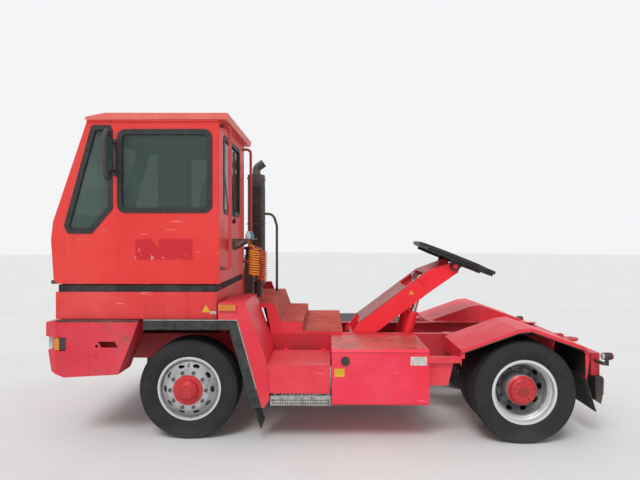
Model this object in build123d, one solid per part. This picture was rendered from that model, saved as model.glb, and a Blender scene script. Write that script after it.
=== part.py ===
from build123d import *
from math import cos, hypot, radians, sin, tan
import os

# Terminal tractor with a one-man cab and a lifting fifth wheel, in millimetres.
# +X is forward, +Y is the vehicle's left, +Z is up. The origin is on the ground at mid length.

# running gear
wheelbase = 3111
front_axle_x = 1392
rear_axle_x = front_axle_x - wheelbase
tyre_diameter = 937
tyre_width = 315
rim_flange_diameter = 597
rim_width = 250
axle_z = tyre_diameter / 2
front_wheel_y = 1000
rear_outer_wheel_y = 1090
dual_spacing = 350
rear_inner_wheel_y = rear_outer_wheel_y - dual_spacing
disc_offset = 162
disc_thickness = 13
kingpin_y = 890
kingpin_radius = 24
spindle_radius = 42
rear_spindle_radius = 60
stud_circle_diameter = 335
stud_count = 10
hub_pilot_diameter = 281

# clearances
running_fit = 0.05
seat_gap = 0.3
curved_gap = 0.3
moving_gap = 8

# chassis
rail_outer_y = 430
rail_top_z = 872
rail_depth = 262
rail_flange = 80
rail_thickness = 9
rail_front_x = 2465
rail_rear_x = rear_axle_x - 681
rail_bottom_z = rail_top_z - rail_depth
rail_web_y = rail_outer_y - rail_thickness
rail_inner_y = rail_outer_y - rail_flange
body_half_width = 1250
side_y = body_half_width - 50

# cab
cab_left_y = side_y
cab_right_y = -400
cab_floor_z = 1461
cab_rear_x = 1098
cab_front_foot_x = 2633
cab_roof_z = 2981
cab_wall = 40
band_bottom_z = 1386
skirt_bottom_z = 1136

# boom and fifth wheel
boom_pivot_x = rear_axle_x + 1539
boom_pivot_z = 800
boom_angle = 37
boom_half_width = 335
boom_plate = 20
boom_pin_radius = 35
plate_angle = 22
plate_pivot_drop = 112
plate_thickness = 34
kingpin_bore_radius = 26
cylinder_y = 235
cylinder_barrel_radius = 56
cylinder_rod_radius = 32
lower_pin_x = rear_axle_x + 989
lower_pin_z = 660

left_right = ((1, "left"), (-1, "right"))


def box(x0, x1, y0, y1, z0, z1):
    """A block between two corners."""
    centre = Pos((x0 + x1) / 2, (y0 + y1) / 2, (z0 + z1) / 2)
    return centre * Box(abs(x1 - x0), abs(y1 - y0), abs(z1 - z0))


def slab_xz(points, y0, y1):
    """A flat plate with its outline in side view."""
    outline = make_face(Polyline(*[(x, y0, z) for x, z in points], close=True))
    return extrude(outline, amount=y1 - y0, dir=(0, 1, 0))


def slab_xy(points, z0, z1):
    """A flat plate with its outline in plan."""
    outline = make_face(Polyline(*[(x, y, z0) for x, y in points], close=True))
    return extrude(outline, amount=z1 - z0, dir=(0, 0, 1))


def slab_yz(points, x0, x1):
    """A flat plate with its outline in front view."""
    outline = make_face(Polyline(*[(x0, y, z) for y, z in points], close=True))
    return extrude(outline, amount=x1 - x0, dir=(1, 0, 0))


def bar(start, end, radius):
    """A round bar between two points."""
    start = Vector(*start)
    along = Vector(*end) - start
    plane = Plane(origin=start, z_dir=along)
    return plane * Cylinder(radius, along.length, align=(Align.CENTER, Align.CENTER, Align.MIN))


def disc_y(x, z, radius, y0, y1):
    """A round boss whose axis lies across the vehicle."""
    return bar((x, min(y0, y1), z), (x, max(y0, y1), z), radius)


def turned_y(profile, x, z):
    """A solid turned about a cross axis, from (y, radius) points."""
    outline = make_face(Polyline(*[(x, y, z + r) for y, r in profile], close=True))
    return revolve(outline, axis=Axis((x, 0, z), (0, 1, 0)))


def bent_tube(points, bend_radius, radius):
    """A round tube along straight runs joined by bends."""
    path = FilletPolyline(*points, radius=bend_radius)
    start = path @ 0
    plane = Plane(origin=start, z_dir=path % 0)
    return sweep(plane * Circle(radius), path=path)


def both_sides(shape):
    """The shape and its mirror image on the other side of the vehicle."""
    return [shape, mirror(shape, about=Plane.XZ)]


def join(shapes):
    """One solid from pieces that touch or overlap."""
    shapes = list(shapes)
    return shapes[0].fuse(*shapes[1:]) if len(shapes) > 1 else shapes[0]


def save(name, *shapes):
    """Write a node made of one solid, or of several that don't touch."""
    solids = [solid for shape in shapes for solid in shape.solids()]
    node = Compound(children=solids) if len(solids) > 1 else solids[0]
    export_step(node, f"parts/{name}.step")


def side_sign_pairs(shape):
    """A piece for the left and the same piece mirrored for the right."""
    left, right = both_sides(shape)
    return (("left", left), ("right", right))


os.makedirs("parts", exist_ok=True)

# wheels

bead_radius = rim_flange_diameter / 2 - 13
bead_inset = 22
tyre_bulge_radius = 398
tread_half_width = 134
hand_hole_count = 10
disc_flat_radius = 194
hand_hole_radius = 222
hand_hole_length = 62
hand_hole_width = 34
hand_hole_corner = 17
flange_width = 14
bead_seat_width = 42
well_depth = 34
rim_skin = 11
disc_lean = 18
disc_edge_inset = 50


def tyre(x, y):
    """A solid tyre ring with bulged walls, seated on its rim."""
    half_section = [
        (rim_width / 2 - bead_inset, bead_radius), (tyre_width / 2, tyre_bulge_radius),
        (tread_half_width, tyre_diameter / 2),
    ]
    section = [(y + a, r) for a, r in half_section] + [(y - a, r) for a, r in reversed(half_section)]
    return turned_y(section, x, axle_z)


def rim(x, y, side, disc_y_offset):
    """A disc wheel: two flanges, a well and a pierced disc on a conical ring."""
    half = rim_width / 2
    flange = rim_flange_diameter / 2
    seat = bead_radius - curved_gap
    well = seat - well_depth
    seat_end = flange_width + 4
    well_start = seat_end + bead_seat_width
    half_outer = [(half - well_start - 22, well), (half - well_start, seat), (half - seat_end, seat),
                  (half - flange_width, flange), (half, flange)]
    half_inner = [(half, seat - rim_skin), (half - well_start - 4, seat - rim_skin),
                  (half - well_start - 26, well - rim_skin)]
    outer = [(-a, r) for a, r in reversed(half_outer)] + half_outer
    inner = half_inner + [(-a, r) for a, r in reversed(half_inner)]
    barrel = turned_y([(y + side * a, r) for a, r in outer + inner], x, axle_z)
    outward = 1 if disc_y_offset > 0 else -1
    edge = outward * (half - disc_edge_inset)
    back = disc_y_offset - disc_thickness * outward
    cone = [
        (edge - disc_lean * outward, seat - rim_skin + 4), (edge, seat - rim_skin + 4),
        (disc_y_offset, disc_flat_radius), (disc_y_offset, hub_pilot_diameter / 2),
        (back, hub_pilot_diameter / 2), (back, disc_flat_radius - 6),
    ]
    disc = turned_y([(y + side * a, r) for a, r in cone], x, axle_z)
    long_half = hand_hole_length / 2
    wide_half = hand_hole_width / 2
    corners = [(long_half, wide_half - hand_hole_corner / 2), (long_half - hand_hole_corner, wide_half)]
    quarter = corners + [(-a, b) for a, b in reversed(corners)]
    hole_outline = make_face(Polyline(*quarter, *[(a, -b) for a, b in reversed(quarter)], close=True))
    hole = Rot(90, 0, 0) * extrude(hole_outline, amount=rim_width, both=True)
    holes = []
    for index in range(hand_hole_count):
        turn = 360 / hand_hole_count * (index + 0.5)
        holes.append(Pos(x, y, axle_z) * Rot(0, turn, 0) * Pos(0, 0, hand_hole_radius) * hole)
    return (barrel + disc).cut(*holes)


def studs(x, y0, y1, radius):
    """A ring of six-sided wheel nuts."""
    nut = Rot(-90, 0, 0) * extrude(RegularPolygon(radius, 6), amount=y1 - y0)
    nuts = []
    for index in range(stud_count):
        turn = radians(360 / stud_count * (index + 0.5))
        centre_x = x + stud_circle_diameter / 2 * sin(turn)
        centre_z = axle_z + stud_circle_diameter / 2 * cos(turn)
        nuts.append(Pos(centre_x, y0, centre_z) * nut)
    return nuts


front_disc_face_y = front_wheel_y + disc_offset
nut_length = 26
nut_radius = 17
front_drum_radius = 196
front_drum_inner_y = 975
front_hub_nose_y = 1238
front_hub_bore_end_y = 1150
rear_hub_nose_y = 1196
rear_drum_radius = 214
rear_drum_inner_y = 640

for side, name in left_right:
    save(f"front_tyre_{name}", tyre(front_axle_x, side * front_wheel_y))
    front_rim = rim(front_axle_x, side * front_wheel_y, side, disc_offset)
    hub_profile = [
        (front_drum_inner_y, spindle_radius + running_fit), (front_drum_inner_y, front_drum_radius),
        (front_drum_inner_y + 110, front_drum_radius), (front_drum_inner_y + 130, 150),
        (front_disc_face_y - disc_thickness - seat_gap, 150),
        (front_disc_face_y - disc_thickness - seat_gap, hub_pilot_diameter / 2 - curved_gap),
        (front_disc_face_y + 10, hub_pilot_diameter / 2 - curved_gap),
        (front_disc_face_y + 14, 100), (front_hub_nose_y - 30, 92), (front_hub_nose_y, 62),
        (front_hub_nose_y, 0), (front_hub_bore_end_y, 0),
        (front_hub_bore_end_y, spindle_radius + running_fit),
    ]
    flange_ring = turned_y(
        [
            (front_disc_face_y - disc_thickness - seat_gap - 22, 120),
            (front_disc_face_y - disc_thickness - seat_gap - 22, 192),
            (front_disc_face_y - disc_thickness - seat_gap, 192),
            (front_disc_face_y - disc_thickness - seat_gap, 120),
        ],
        front_axle_x, axle_z,
    )
    hub = turned_y(hub_profile, front_axle_x, axle_z) + flange_ring
    nuts = studs(front_axle_x, front_disc_face_y + seat_gap, front_disc_face_y + nut_length, nut_radius)
    nut_ring = turned_y(
        [
            (front_disc_face_y + seat_gap, 100), (front_disc_face_y + seat_gap, 182),
            (front_disc_face_y + 6, 182), (front_disc_face_y + 6, 100),
        ],
        front_axle_x, axle_z,
    )
    hub = join([hub, nut_ring] + nuts)
    if side < 0:
        hub = mirror(hub, about=Plane.XZ)
    save(f"front_wheel_{name}", front_rim, hub)

    tyres = [tyre(rear_axle_x, side * wheel_y) for wheel_y in (rear_outer_wheel_y, rear_inner_wheel_y)]
    save(f"rear_tyres_{name}", *tyres)
    outer_rim = rim(rear_axle_x, side * rear_outer_wheel_y, side, -disc_offset)
    inner_rim = rim(rear_axle_x, side * rear_inner_wheel_y, side, disc_offset)
    hub_seat_y = rear_inner_wheel_y + disc_offset - disc_thickness - seat_gap
    outer_face_y = rear_outer_wheel_y - disc_offset + disc_thickness
    hub_profile = [
        (rear_drum_inner_y, rear_spindle_radius + running_fit), (rear_drum_inner_y, rear_drum_radius),
        (rear_drum_inner_y + 180, rear_drum_radius), (hub_seat_y - 22, 190), (hub_seat_y, 190),
        (hub_seat_y, hub_pilot_diameter / 2 - curved_gap),
        (rear_hub_nose_y - 60, hub_pilot_diameter / 2 - curved_gap),
        (rear_hub_nose_y - 44, 118), (rear_hub_nose_y - 14, 118), (rear_hub_nose_y, 104),
        (rear_hub_nose_y, 0), (hub_seat_y + 30, 0), (hub_seat_y + 30, rear_spindle_radius + running_fit),
    ]
    nuts = studs(rear_axle_x, outer_face_y + seat_gap, outer_face_y + nut_length, nut_radius)
    nut_ring = turned_y(
        [
            (outer_face_y + seat_gap, 130), (outer_face_y + seat_gap, 184),
            (outer_face_y + 6, 184), (outer_face_y + 6, 130),
        ],
        rear_axle_x, axle_z,
    )
    hub = join([turned_y(hub_profile, rear_axle_x, axle_z), nut_ring] + nuts)
    if side < 0:
        hub = mirror(hub, about=Plane.XZ)
    save(f"rear_wheels_{name}", outer_rim, inner_rim, hub)

# chassis frame

frame_members = (
    # rear x, front x, low z, high z
    (2380, 2450, rail_bottom_z + 30, rail_top_z - 30),
    (430, 500, rail_bottom_z + 15, rail_bottom_z + 85),
    (boom_pivot_x - 240, boom_pivot_x - 170, rail_bottom_z + 15, rail_bottom_z + 85),
    (lower_pin_x - 400, lower_pin_x - 330, rail_bottom_z + 15, rail_bottom_z + 85),
    (rail_rear_x, rail_rear_x + 70, rail_bottom_z + 15, rail_top_z - 30),
)
boom_pin = disc_y(boom_pivot_x, boom_pivot_z, boom_pin_radius, -rail_web_y, rail_web_y)
lower_pin = disc_y(lower_pin_x, lower_pin_z, boom_pin_radius, -rail_web_y, rail_web_y)
rail_profile = [
    (rail_inner_y, rail_bottom_z), (rail_outer_y, rail_bottom_z), (rail_outer_y, rail_top_z),
    (rail_inner_y, rail_top_z), (rail_inner_y, rail_top_z - rail_thickness),
    (rail_web_y, rail_top_z - rail_thickness), (rail_web_y, rail_bottom_z + rail_thickness),
    (rail_inner_y, rail_bottom_z + rail_thickness),
]
rail_left = slab_yz(rail_profile, rail_rear_x, rail_front_x)
members = [
    box(rear_x, front_x, -rail_web_y, rail_web_y, low_z, high_z)
    for rear_x, front_x, low_z, high_z in frame_members
]
ends = [rail_left, mirror(rail_left, about=Plane.XZ)]
frame_pieces = ends + members + [boom_pin, lower_pin]


def leaf_pack(x, seat_z, y, half_length, rise, leaf_count, leaf_thickness, leaf_width):
    """A curved spring pack whose longest leaf is on top."""
    radius = (half_length ** 2 + rise ** 2) / (2 * rise)
    leaves = []
    for index in range(leaf_count):
        reach = half_length * (1 - index / (leaf_count + 1))
        outer = radius + leaf_thickness * (index + 1)
        inner = radius + leaf_thickness * index
        turn = reach / radius
        centre_z = seat_z + leaf_thickness * leaf_count + radius
        edges = []
        for size in (inner, outer):
            ends = [(x + size * sin(a), y, centre_z - size * cos(a)) for a in (-turn, 0, turn)]
            edges.append(ThreePointArc(*ends))
        sides = [Line(edges[0] @ 0, edges[1] @ 0), Line(edges[0] @ 1, edges[1] @ 1)]
        face = make_face(edges + sides)
        leaves.append(extrude(face, amount=leaf_width, dir=(0, 1, 0)))
    return join(leaves)


spring_width = 75
front_spring_inner_y = 352
rear_spring_inner_y = 352
front_beam_top_z = 432
front_spring_half = 560
front_spring_rise = 92
rear_spring_half = 570
rear_spring_rise = 18
rear_axle_tube_radius = 72
rear_seat_z = axle_z + rear_axle_tube_radius + 4
rear_eye_z = 420
hanger_half_length = 60


def spring_hangers(x, half_length, eye_z, y):
    """Two brackets that hang a spring's ends from the rail."""
    hangers = []
    for end in (-1, 1):
        middle = x + end * half_length
        hangers.append(box(middle - hanger_half_length, middle + hanger_half_length, y, y + spring_width,
                           eye_z, rail_bottom_z))
    return hangers


front_pack = leaf_pack(front_axle_x, front_beam_top_z, front_spring_inner_y, front_spring_half,
                       front_spring_rise, 4, 15, spring_width)
front_eye_z = front_beam_top_z + 60 + front_spring_rise - 30
front_hangers = spring_hangers(front_axle_x, front_spring_half, front_eye_z, front_spring_inner_y)
front_spring = join([front_pack] + front_hangers)

rear_pack = leaf_pack(rear_axle_x, rear_seat_z, rear_spring_inner_y, rear_spring_half, rear_spring_rise, 3, 12,
                      spring_width)
rear_hangers = spring_hangers(rear_axle_x, rear_spring_half, rear_eye_z, rear_spring_inner_y)
rear_spring = join([rear_pack] + rear_hangers)
save("leaf_springs", *both_sides(front_spring), *both_sides(rear_spring))

# front axle and steering

beam_half_width = 40
beam_eye_half_height = 52
beam_drop_z = 332
beam_rise_y = 620
fork_gap = 1
fork_half_height = 96
fork_web_inner_y = kingpin_y + beam_half_width + moving_gap
fork_web_outer_y = front_drum_inner_y - 12
arm_length = 150
arm_half_width = 26
arm_thickness = 24
tie_eye_radius = 30
tie_eye_half_height = 22
tie_rod_radius = 18
tie_pin_radius = 17
tie_pin_length = 14
arm_bottom_z = axle_z - fork_half_height - 8
tie_rod_x = front_axle_x - arm_length
tie_rod_z = arm_bottom_z - tie_pin_length - tie_eye_half_height

beam_profile = [
    (kingpin_y, axle_z + 45), (kingpin_y, axle_z - 45), (beam_rise_y + 90, axle_z - 52),
    (beam_rise_y - 50, beam_drop_z), (0, beam_drop_z), (0, front_beam_top_z), (beam_rise_y, front_beam_top_z),
    (beam_rise_y + 100, axle_z + 45),
]
beam_half = slab_yz(beam_profile, front_axle_x - beam_half_width, front_axle_x + beam_half_width)
beam_eye = Pos(front_axle_x, kingpin_y, axle_z) * Cylinder(beam_half_width, 2 * beam_eye_half_height)
kingpin_bore = Pos(front_axle_x, kingpin_y, axle_z) * Cylinder(kingpin_radius + running_fit, 400)
beam_half = (beam_half + beam_eye) - kingpin_bore
save("front_axle_beam", join(both_sides(beam_half)))

ear_low = beam_eye_half_height + fork_gap
ear_high = fork_half_height
knuckle_pieces = [
    box(front_axle_x - beam_half_width, front_axle_x + beam_half_width, fork_web_inner_y, fork_web_outer_y,
        axle_z - ear_high, axle_z + ear_high),
    Pos(front_axle_x, kingpin_y, axle_z) * Cylinder(kingpin_radius, 2 * ear_high),
    disc_y(front_axle_x, axle_z, spindle_radius, fork_web_outer_y - 4, front_hub_bore_end_y - 6),
    box(tie_rod_x, front_axle_x, kingpin_y - arm_half_width, kingpin_y + arm_half_width,
        arm_bottom_z, arm_bottom_z + arm_thickness),
    Pos(tie_rod_x, kingpin_y, arm_bottom_z + arm_thickness / 2) * Cylinder(arm_half_width, arm_thickness),
    Pos(tie_rod_x, kingpin_y, arm_bottom_z - (tie_pin_length - seat_gap) / 2)
    * Cylinder(tie_pin_radius, tie_pin_length - seat_gap),
]
for low, high in ((ear_low, ear_high), (-ear_high, -ear_low)):
    middle = axle_z + (low + high) / 2
    knuckle_pieces.append(Pos(front_axle_x, kingpin_y, middle) * Cylinder(beam_half_width, high - low))
    knuckle_pieces.append(box(front_axle_x - beam_half_width, front_axle_x + beam_half_width, kingpin_y,
                              fork_web_inner_y + 1, axle_z + low, axle_z + high))
for name, knuckle in side_sign_pairs(join(knuckle_pieces)):
    save(f"steering_knuckle_{name}", knuckle)

tie_rod = disc_y(tie_rod_x, tie_rod_z, tie_rod_radius, -kingpin_y, kingpin_y)
tie_eyes = [Pos(tie_rod_x, y, tie_rod_z) * Cylinder(tie_eye_radius, 2 * tie_eye_half_height)
            for y in (-kingpin_y, kingpin_y)]
save("tie_rod", join([tie_rod] + tie_eyes))

# rear axle and drive line

differential_radius = 205
differential_nose_x = rear_axle_x + 330
gearbox_rear_x = 700
engine_front_x = 2200
engine_rear_x = 1210
shaft_radius = 45

rear_housing = [
    disc_y(rear_axle_x, axle_z, rear_axle_tube_radius, -rear_drum_inner_y + 6, rear_drum_inner_y - 6),
    disc_y(rear_axle_x, axle_z, rear_spindle_radius, -hub_seat_y, hub_seat_y),
    disc_y(rear_axle_x, axle_z, differential_radius, -110, 110),
    disc_y(rear_axle_x, axle_z, 150, -190, 190),
    bar((rear_axle_x, 0, axle_z), (differential_nose_x, 0, axle_z), 115),
]
for side, name in left_right:
    low_y = min(side * rear_spring_inner_y, side * (rear_spring_inner_y + spring_width))
    rear_housing.append(box(rear_axle_x - 75, rear_axle_x + 75, low_y, low_y + spring_width, axle_z, rear_seat_z))
propshaft = join([
    bar((differential_nose_x, 0, axle_z), (gearbox_rear_x, 0, axle_z), shaft_radius),
    bar((differential_nose_x, 0, axle_z), (differential_nose_x + 40, 0, axle_z), 75),
    bar((gearbox_rear_x - 40, 0, axle_z), (gearbox_rear_x, 0, axle_z), 75),
])
save("rear_axle_housing", join(rear_housing + [propshaft]))
engine = join([
    box(engine_rear_x, engine_front_x, -280, 280, 640, 1280),
    slab_xz([(engine_rear_x, 560), (engine_front_x - 420, 560), (engine_front_x - 420, 640), (engine_rear_x, 640)],
            -190, 190),
])
gearbox_profile = [
    (engine_rear_x, 560), (engine_rear_x, 980), (engine_rear_x - 160, 900), (gearbox_rear_x + 60, 760),
    (gearbox_rear_x, 620), (gearbox_rear_x, 380), (gearbox_rear_x + 160, 350), (engine_rear_x - 120, 400),
]
save("engine_and_gearbox", engine, slab_xz(gearbox_profile, -230, 230))

# bumper

sheet = 8
bumper_wall = 10
bumper_profile = [
    (2728, 1100), (2554, 1134), (1824, 1131), (1927, 860), (2020, 629), (2520, 601), (2655, 653),
    (2683, 774), (2728, 970),
]
bumper_wing_depth = 330
bumper_back_x = 2470
corner_cut_x = 130
corner_cut_y = 90


def shrunk(points, wall, y0, y1):
    """The same side outline drawn in by a wall, between two cross positions."""
    outline = make_face(Polyline(*[(x, y0, z) for x, z in points], close=True))
    return extrude(offset(outline, amount=-wall, kind=Kind.INTERSECTION), amount=y1 - y0, dir=(0, 1, 0))


def corner_wedges(nose_x, half_width, cut_x, cut_y, z0, z1):
    """The two triangles that a chamfer takes off a nose's corners."""
    wedge = slab_xy(
        [(nose_x + 1, half_width + 1), (nose_x - cut_x, half_width + 1), (nose_x - cut_x, half_width),
         (nose_x, half_width - cut_y), (nose_x + 1, half_width - cut_y)],
        z0, z1,
    )
    return both_sides(wedge)


bumper_nose_x = bumper_profile[0][0]
bumper_outer = slab_xz(bumper_profile, -body_half_width, body_half_width).cut(
    *corner_wedges(bumper_nose_x, body_half_width, corner_cut_x, corner_cut_y, 500, 1200))
bumper_inner_y = body_half_width - bumper_wall
bumper_inner = shrunk(bumper_profile, bumper_wall, -bumper_inner_y, bumper_inner_y).cut(
    *corner_wedges(bumper_nose_x - bumper_wall, bumper_inner_y, corner_cut_x, corner_cut_y, 500, 1200))
wing_inner_y = body_half_width - bumper_wing_depth
between_wings = box(1700, bumper_back_x, -wing_inner_y, wing_inner_y, 500, 1200)
slot_centre_x = 2110
slot_z = 905
slot = slab_xz(
    [(slot_centre_x - 95, slot_z - 28), (slot_centre_x + 60, slot_z - 28), (slot_centre_x + 95, slot_z + 28),
     (slot_centre_x - 60, slot_z + 28)],
    body_half_width - 40, body_half_width + 10,
)
lamp_recess_x0 = 2500
lamp_recess_x1 = 2740
lamp_recess_z0 = 846
lamp_recess_z1 = 968
lamp_recess_depth = 70
recess_front_y = 860
recess = box(lamp_recess_x0, lamp_recess_x1, body_half_width - lamp_recess_depth, body_half_width + 10,
             lamp_recess_z0, lamp_recess_z1) + box(
    lamp_recess_x1 - 90, lamp_recess_x1, recess_front_y, body_half_width, lamp_recess_z0, lamp_recess_z1)
recess_shell = box(lamp_recess_x0 - sheet, lamp_recess_x1, body_half_width - lamp_recess_depth - sheet,
                   body_half_width + 10, lamp_recess_z0 - sheet, lamp_recess_z1 + sheet) + box(
    lamp_recess_x1 - 90 - sheet, lamp_recess_x1, recess_front_y - sheet, body_half_width,
    lamp_recess_z0 - sheet, lamp_recess_z1 + sheet)
recess_shells = [shell & bumper_outer for shell in both_sides(recess_shell)]
rib = slab_xz([(2300, 700), (2740, 700), (2740, 850), (2300, 850)], rail_outer_y, rail_outer_y + 12)
ribs = [piece & bumper_outer for piece in both_sides(rib)]
bumper = bumper_outer - bumper_inner - between_wings
bumper_hole = disc_y(2217, 890, 14, body_half_width - 40, body_half_width + 10)
bumper = join([bumper] + recess_shells + ribs).cut(*both_sides(recess), *both_sides(slot), *both_sides(bumper_hole))
save("front_bumper", bumper)

lamp_gap = 2
lamp_side = box(lamp_recess_x0 + lamp_gap, lamp_recess_x0 + 110, body_half_width - lamp_recess_depth,
                body_half_width - 4, lamp_recess_z0 + 6, lamp_recess_z1 - 6)
headlamp = box(lamp_recess_x1 - 90, lamp_recess_x1 - 22, recess_front_y + 6, recess_front_y + 256,
               lamp_recess_z0 + 6, lamp_recess_z1 - 6)

# cab base, hood and front guards

base_rear_x = 1119
base_front_x = 2616
base_wall = 20
base_right_y = -430
beam_low_z = 1296
beam_high_z = 1356
post_x_table = ((1160, 1240), (2300, 2370))
ring = box(base_rear_x, base_front_x, base_right_y, side_y, skirt_bottom_z, band_bottom_z) - box(
    base_rear_x + base_wall, base_front_x - base_wall, base_right_y + base_wall, side_y - base_wall,
    skirt_bottom_z - 1, band_bottom_z + 1)
base_pieces = [ring]
for rear_x, front_x in post_x_table:
    base_pieces.append(box(rear_x, front_x, base_right_y + base_wall / 2, side_y - base_wall / 2,
                           beam_low_z, beam_high_z))
    for side in (1, -1):
        base_pieces.append(box(rear_x, front_x, side * rail_inner_y, side * (rail_outer_y - 10),
                               rail_top_z, beam_high_z))

band_front_x = 2594
band_left_y = side_y - 12
band_right_y = -414
band_wall = 24
band = box(base_rear_x + 12, band_front_x, band_right_y, band_left_y, band_bottom_z, cab_floor_z - moving_gap) - box(
    base_rear_x + 12 + band_wall, band_front_x - band_wall, band_right_y + band_wall, band_left_y - band_wall,
    band_bottom_z - 1, cab_floor_z)

mount_radius = 42
mount_x_table = (1205, 2335)
mount_y_table = (-290, 1050)
mount_top_z = cab_floor_z - seat_gap
mounts = [
    Pos(x, y, (beam_high_z + mount_top_z) / 2) * Cylinder(mount_radius, mount_top_z - beam_high_z)
    for x in mount_x_table for y in mount_y_table
]

hood_top_z = 1500
hood_wall = 15
hood_outer = box(base_rear_x, base_front_x, -side_y, base_right_y, skirt_bottom_z, hood_top_z)
hood_edges = hood_outer.edges().filter_by(Axis.X).group_by(Axis.Z)[-1].group_by(Axis.Y)[0]
hood_outer = fillet(hood_edges, 60)
hood_inner = box(base_rear_x + hood_wall, base_front_x - hood_wall, -side_y + hood_wall, base_right_y - hood_wall,
                 skirt_bottom_z - 1, hood_top_z - hood_wall)
hood_inner = fillet(hood_inner.edges().filter_by(Axis.X).group_by(Axis.Z)[-1].group_by(Axis.Y)[0], 45)
grille_y0 = -1120
grille_y1 = -500
grille_z0 = 1180
grille_z1 = 1430
grille_opening = box(base_front_x - 60, base_front_x + 10, grille_y0, grille_y1, grille_z0, grille_z1)
louvre_count = 8
louvre_pitch = 27.6
louvre_z = skirt_bottom_z + 44
louvres = [
    box(1300, 1640, -side_y - 5, -side_y + 60, louvre_z + index * louvre_pitch, louvre_z + index * louvre_pitch + 12)
    for index in range(louvre_count)
]

slat_count = 7
grille_frame = box(base_front_x - hood_wall, base_front_x + 6, grille_y0, grille_y1, grille_z0, grille_z1) - box(
    base_front_x - 30, base_front_x + 10, grille_y0 + 14, grille_y1 - 14, grille_z0 + 14, grille_z1 - 14)
slat_pitch = (grille_z1 - grille_z0 - 28) / (slat_count + 1)
slats = [
    box(base_front_x - hood_wall, base_front_x, grille_y0 + 10, grille_y1 - 10,
        grille_z0 + 14 + slat_pitch * (index + 1) - 5, grille_z0 + 14 + slat_pitch * (index + 1) + 5)
    for index in range(slat_count)
]
save("engine_hood", (hood_outer - hood_inner).cut(grille_opening, *louvres), join([grille_frame] + slats))

arch_front_x = 1787
arch_knee_x = 922
arch_foot_x = 694
arch_foot_z = 328
arch_top_z = skirt_bottom_z
arch_sheet = 12
arch_lip = 92
arch_inner_y = 840


def guard_band(depth, y0, y1):
    """A wheel arch band of one depth, following the top and the sloped rear edge."""
    rise = arch_top_z - arch_foot_z
    run = arch_knee_x - arch_foot_x
    shift = depth * hypot(rise, run) / rise
    inner_knee_x = arch_knee_x + shift - depth * run / rise
    points = [
        (arch_front_x, arch_top_z), (arch_knee_x, arch_top_z), (arch_foot_x, arch_foot_z),
        (arch_foot_x + shift, arch_foot_z), (inner_knee_x, arch_top_z - depth), (arch_front_x, arch_top_z - depth),
    ]
    return slab_xz(points, y0, y1)


mudguard = guard_band(arch_sheet, arch_inner_y, body_half_width) + guard_band(
    arch_lip, body_half_width - 12, body_half_width)

fender_profile = [
    (1096, 1286), (846, 1296), (656, 769), (622, 402), (675, arch_foot_z), (arch_foot_x, arch_foot_z),
    (arch_knee_x, arch_top_z), (1096, arch_top_z),
]
fender_inner_y = rail_outer_y
fender = slab_xz(fender_profile, fender_inner_y, body_half_width) - shrunk(
    fender_profile, sheet, fender_inner_y - 1, body_half_width - sheet)
deck_clear_y = side_y + 3
fender_right = mirror(fender, about=Plane.XZ) - box(300, 1120, -deck_clear_y, 0, rail_bottom_z, 1310)
save("front_fenders", fender, fender_right)
side_lamp = box(930, 1090, body_half_width, body_half_width + 22, 1222, 1276)
save("amber_lamps", *both_sides(lamp_side), *both_sides(side_lamp))

# steps, tanks and deck on the left and right of the frame

step_box_inner_y = 547
step_box_profile = [(649, 722), (65, 722), (70, 462), (625, 462)]
step_box = slab_xz(step_box_profile, step_box_inner_y, body_half_width) - shrunk(
    step_box_profile, sheet, step_box_inner_y - 1, body_half_width - sheet)
step_ties = [box(x, x + 50, rail_outer_y, step_box_inner_y + 60, 690, 714.5) for x in (110, 500)]
save("step_box", join([step_box] + step_ties))

step_x0 = 61
step_x1 = 616
step_z0 = 352
step_z1 = 435
step_inner_y = 1000
step_bar_pitch = 36
step_frame = box(step_x0, step_x1, step_inner_y, body_half_width, step_z0, step_z1) - box(
    step_x0 + 6, step_x1 - 6, step_inner_y + 6, body_half_width - 6, step_z0 - 1, step_z1 + 1)
step_bars = []
bar_x = step_x0 + step_bar_pitch
while bar_x < step_x1 - 12:
    step_bars.append(box(bar_x, bar_x + 5, step_inner_y, body_half_width, step_z1 - 34, step_z1))
    bar_x += step_bar_pitch
step_hangers = [box(x, x + 40, y, y + 6, step_z0 + 10, step_box_profile[2][1])
                for x in (110, 530) for y in (step_inner_y, body_half_width - 60)]
save("serrated_step", join([step_frame] + step_bars + step_hangers))

tank_rear_x = rear_axle_x + 879
tank_front_x = 52
tank_bottom_z = 352
tank_top_z = 864
tank_corner = 26
tank = box(tank_rear_x, tank_front_x, rail_outer_y, body_half_width, tank_bottom_z, tank_top_z)
tank = fillet(tank.edges().filter_by(Axis.X).group_by(Axis.Y)[-1], tank_corner)
cap_x = -72
cap_z = 761
save("side_tank_left", tank + disc_y(cap_x, cap_z, 40, body_half_width, body_half_width + 14))
battery_box = box(tank_rear_x, tank_front_x, -body_half_width, -rail_outer_y, tank_bottom_z + 60, tank_top_z)
battery_box = fillet(battery_box.edges().filter_by(Axis.X).group_by(Axis.Y)[0], tank_corner)
air_tank_radius = 128
air_tank_z = 600
air_tank_x0 = 90
air_tank_x1 = 600
air_tanks = []
for y in (-620, -930):
    tank_body = bar((air_tank_x0, y, air_tank_z), (air_tank_x1, y, air_tank_z), air_tank_radius)
    air_tanks.append(chamfer(tank_body.edges().filter_by(GeomType.CIRCLE), 38))
strap_y = (-1070, -rail_outer_y)
strap_top_z = air_tank_z + air_tank_radius + 20
straps = [box(x, x + 40, strap_y[0], strap_y[1], strap_top_z - 26, strap_top_z)
          for x in (180, 480)]
save("battery_box_and_air_tanks", battery_box, join(air_tanks + straps))

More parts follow.
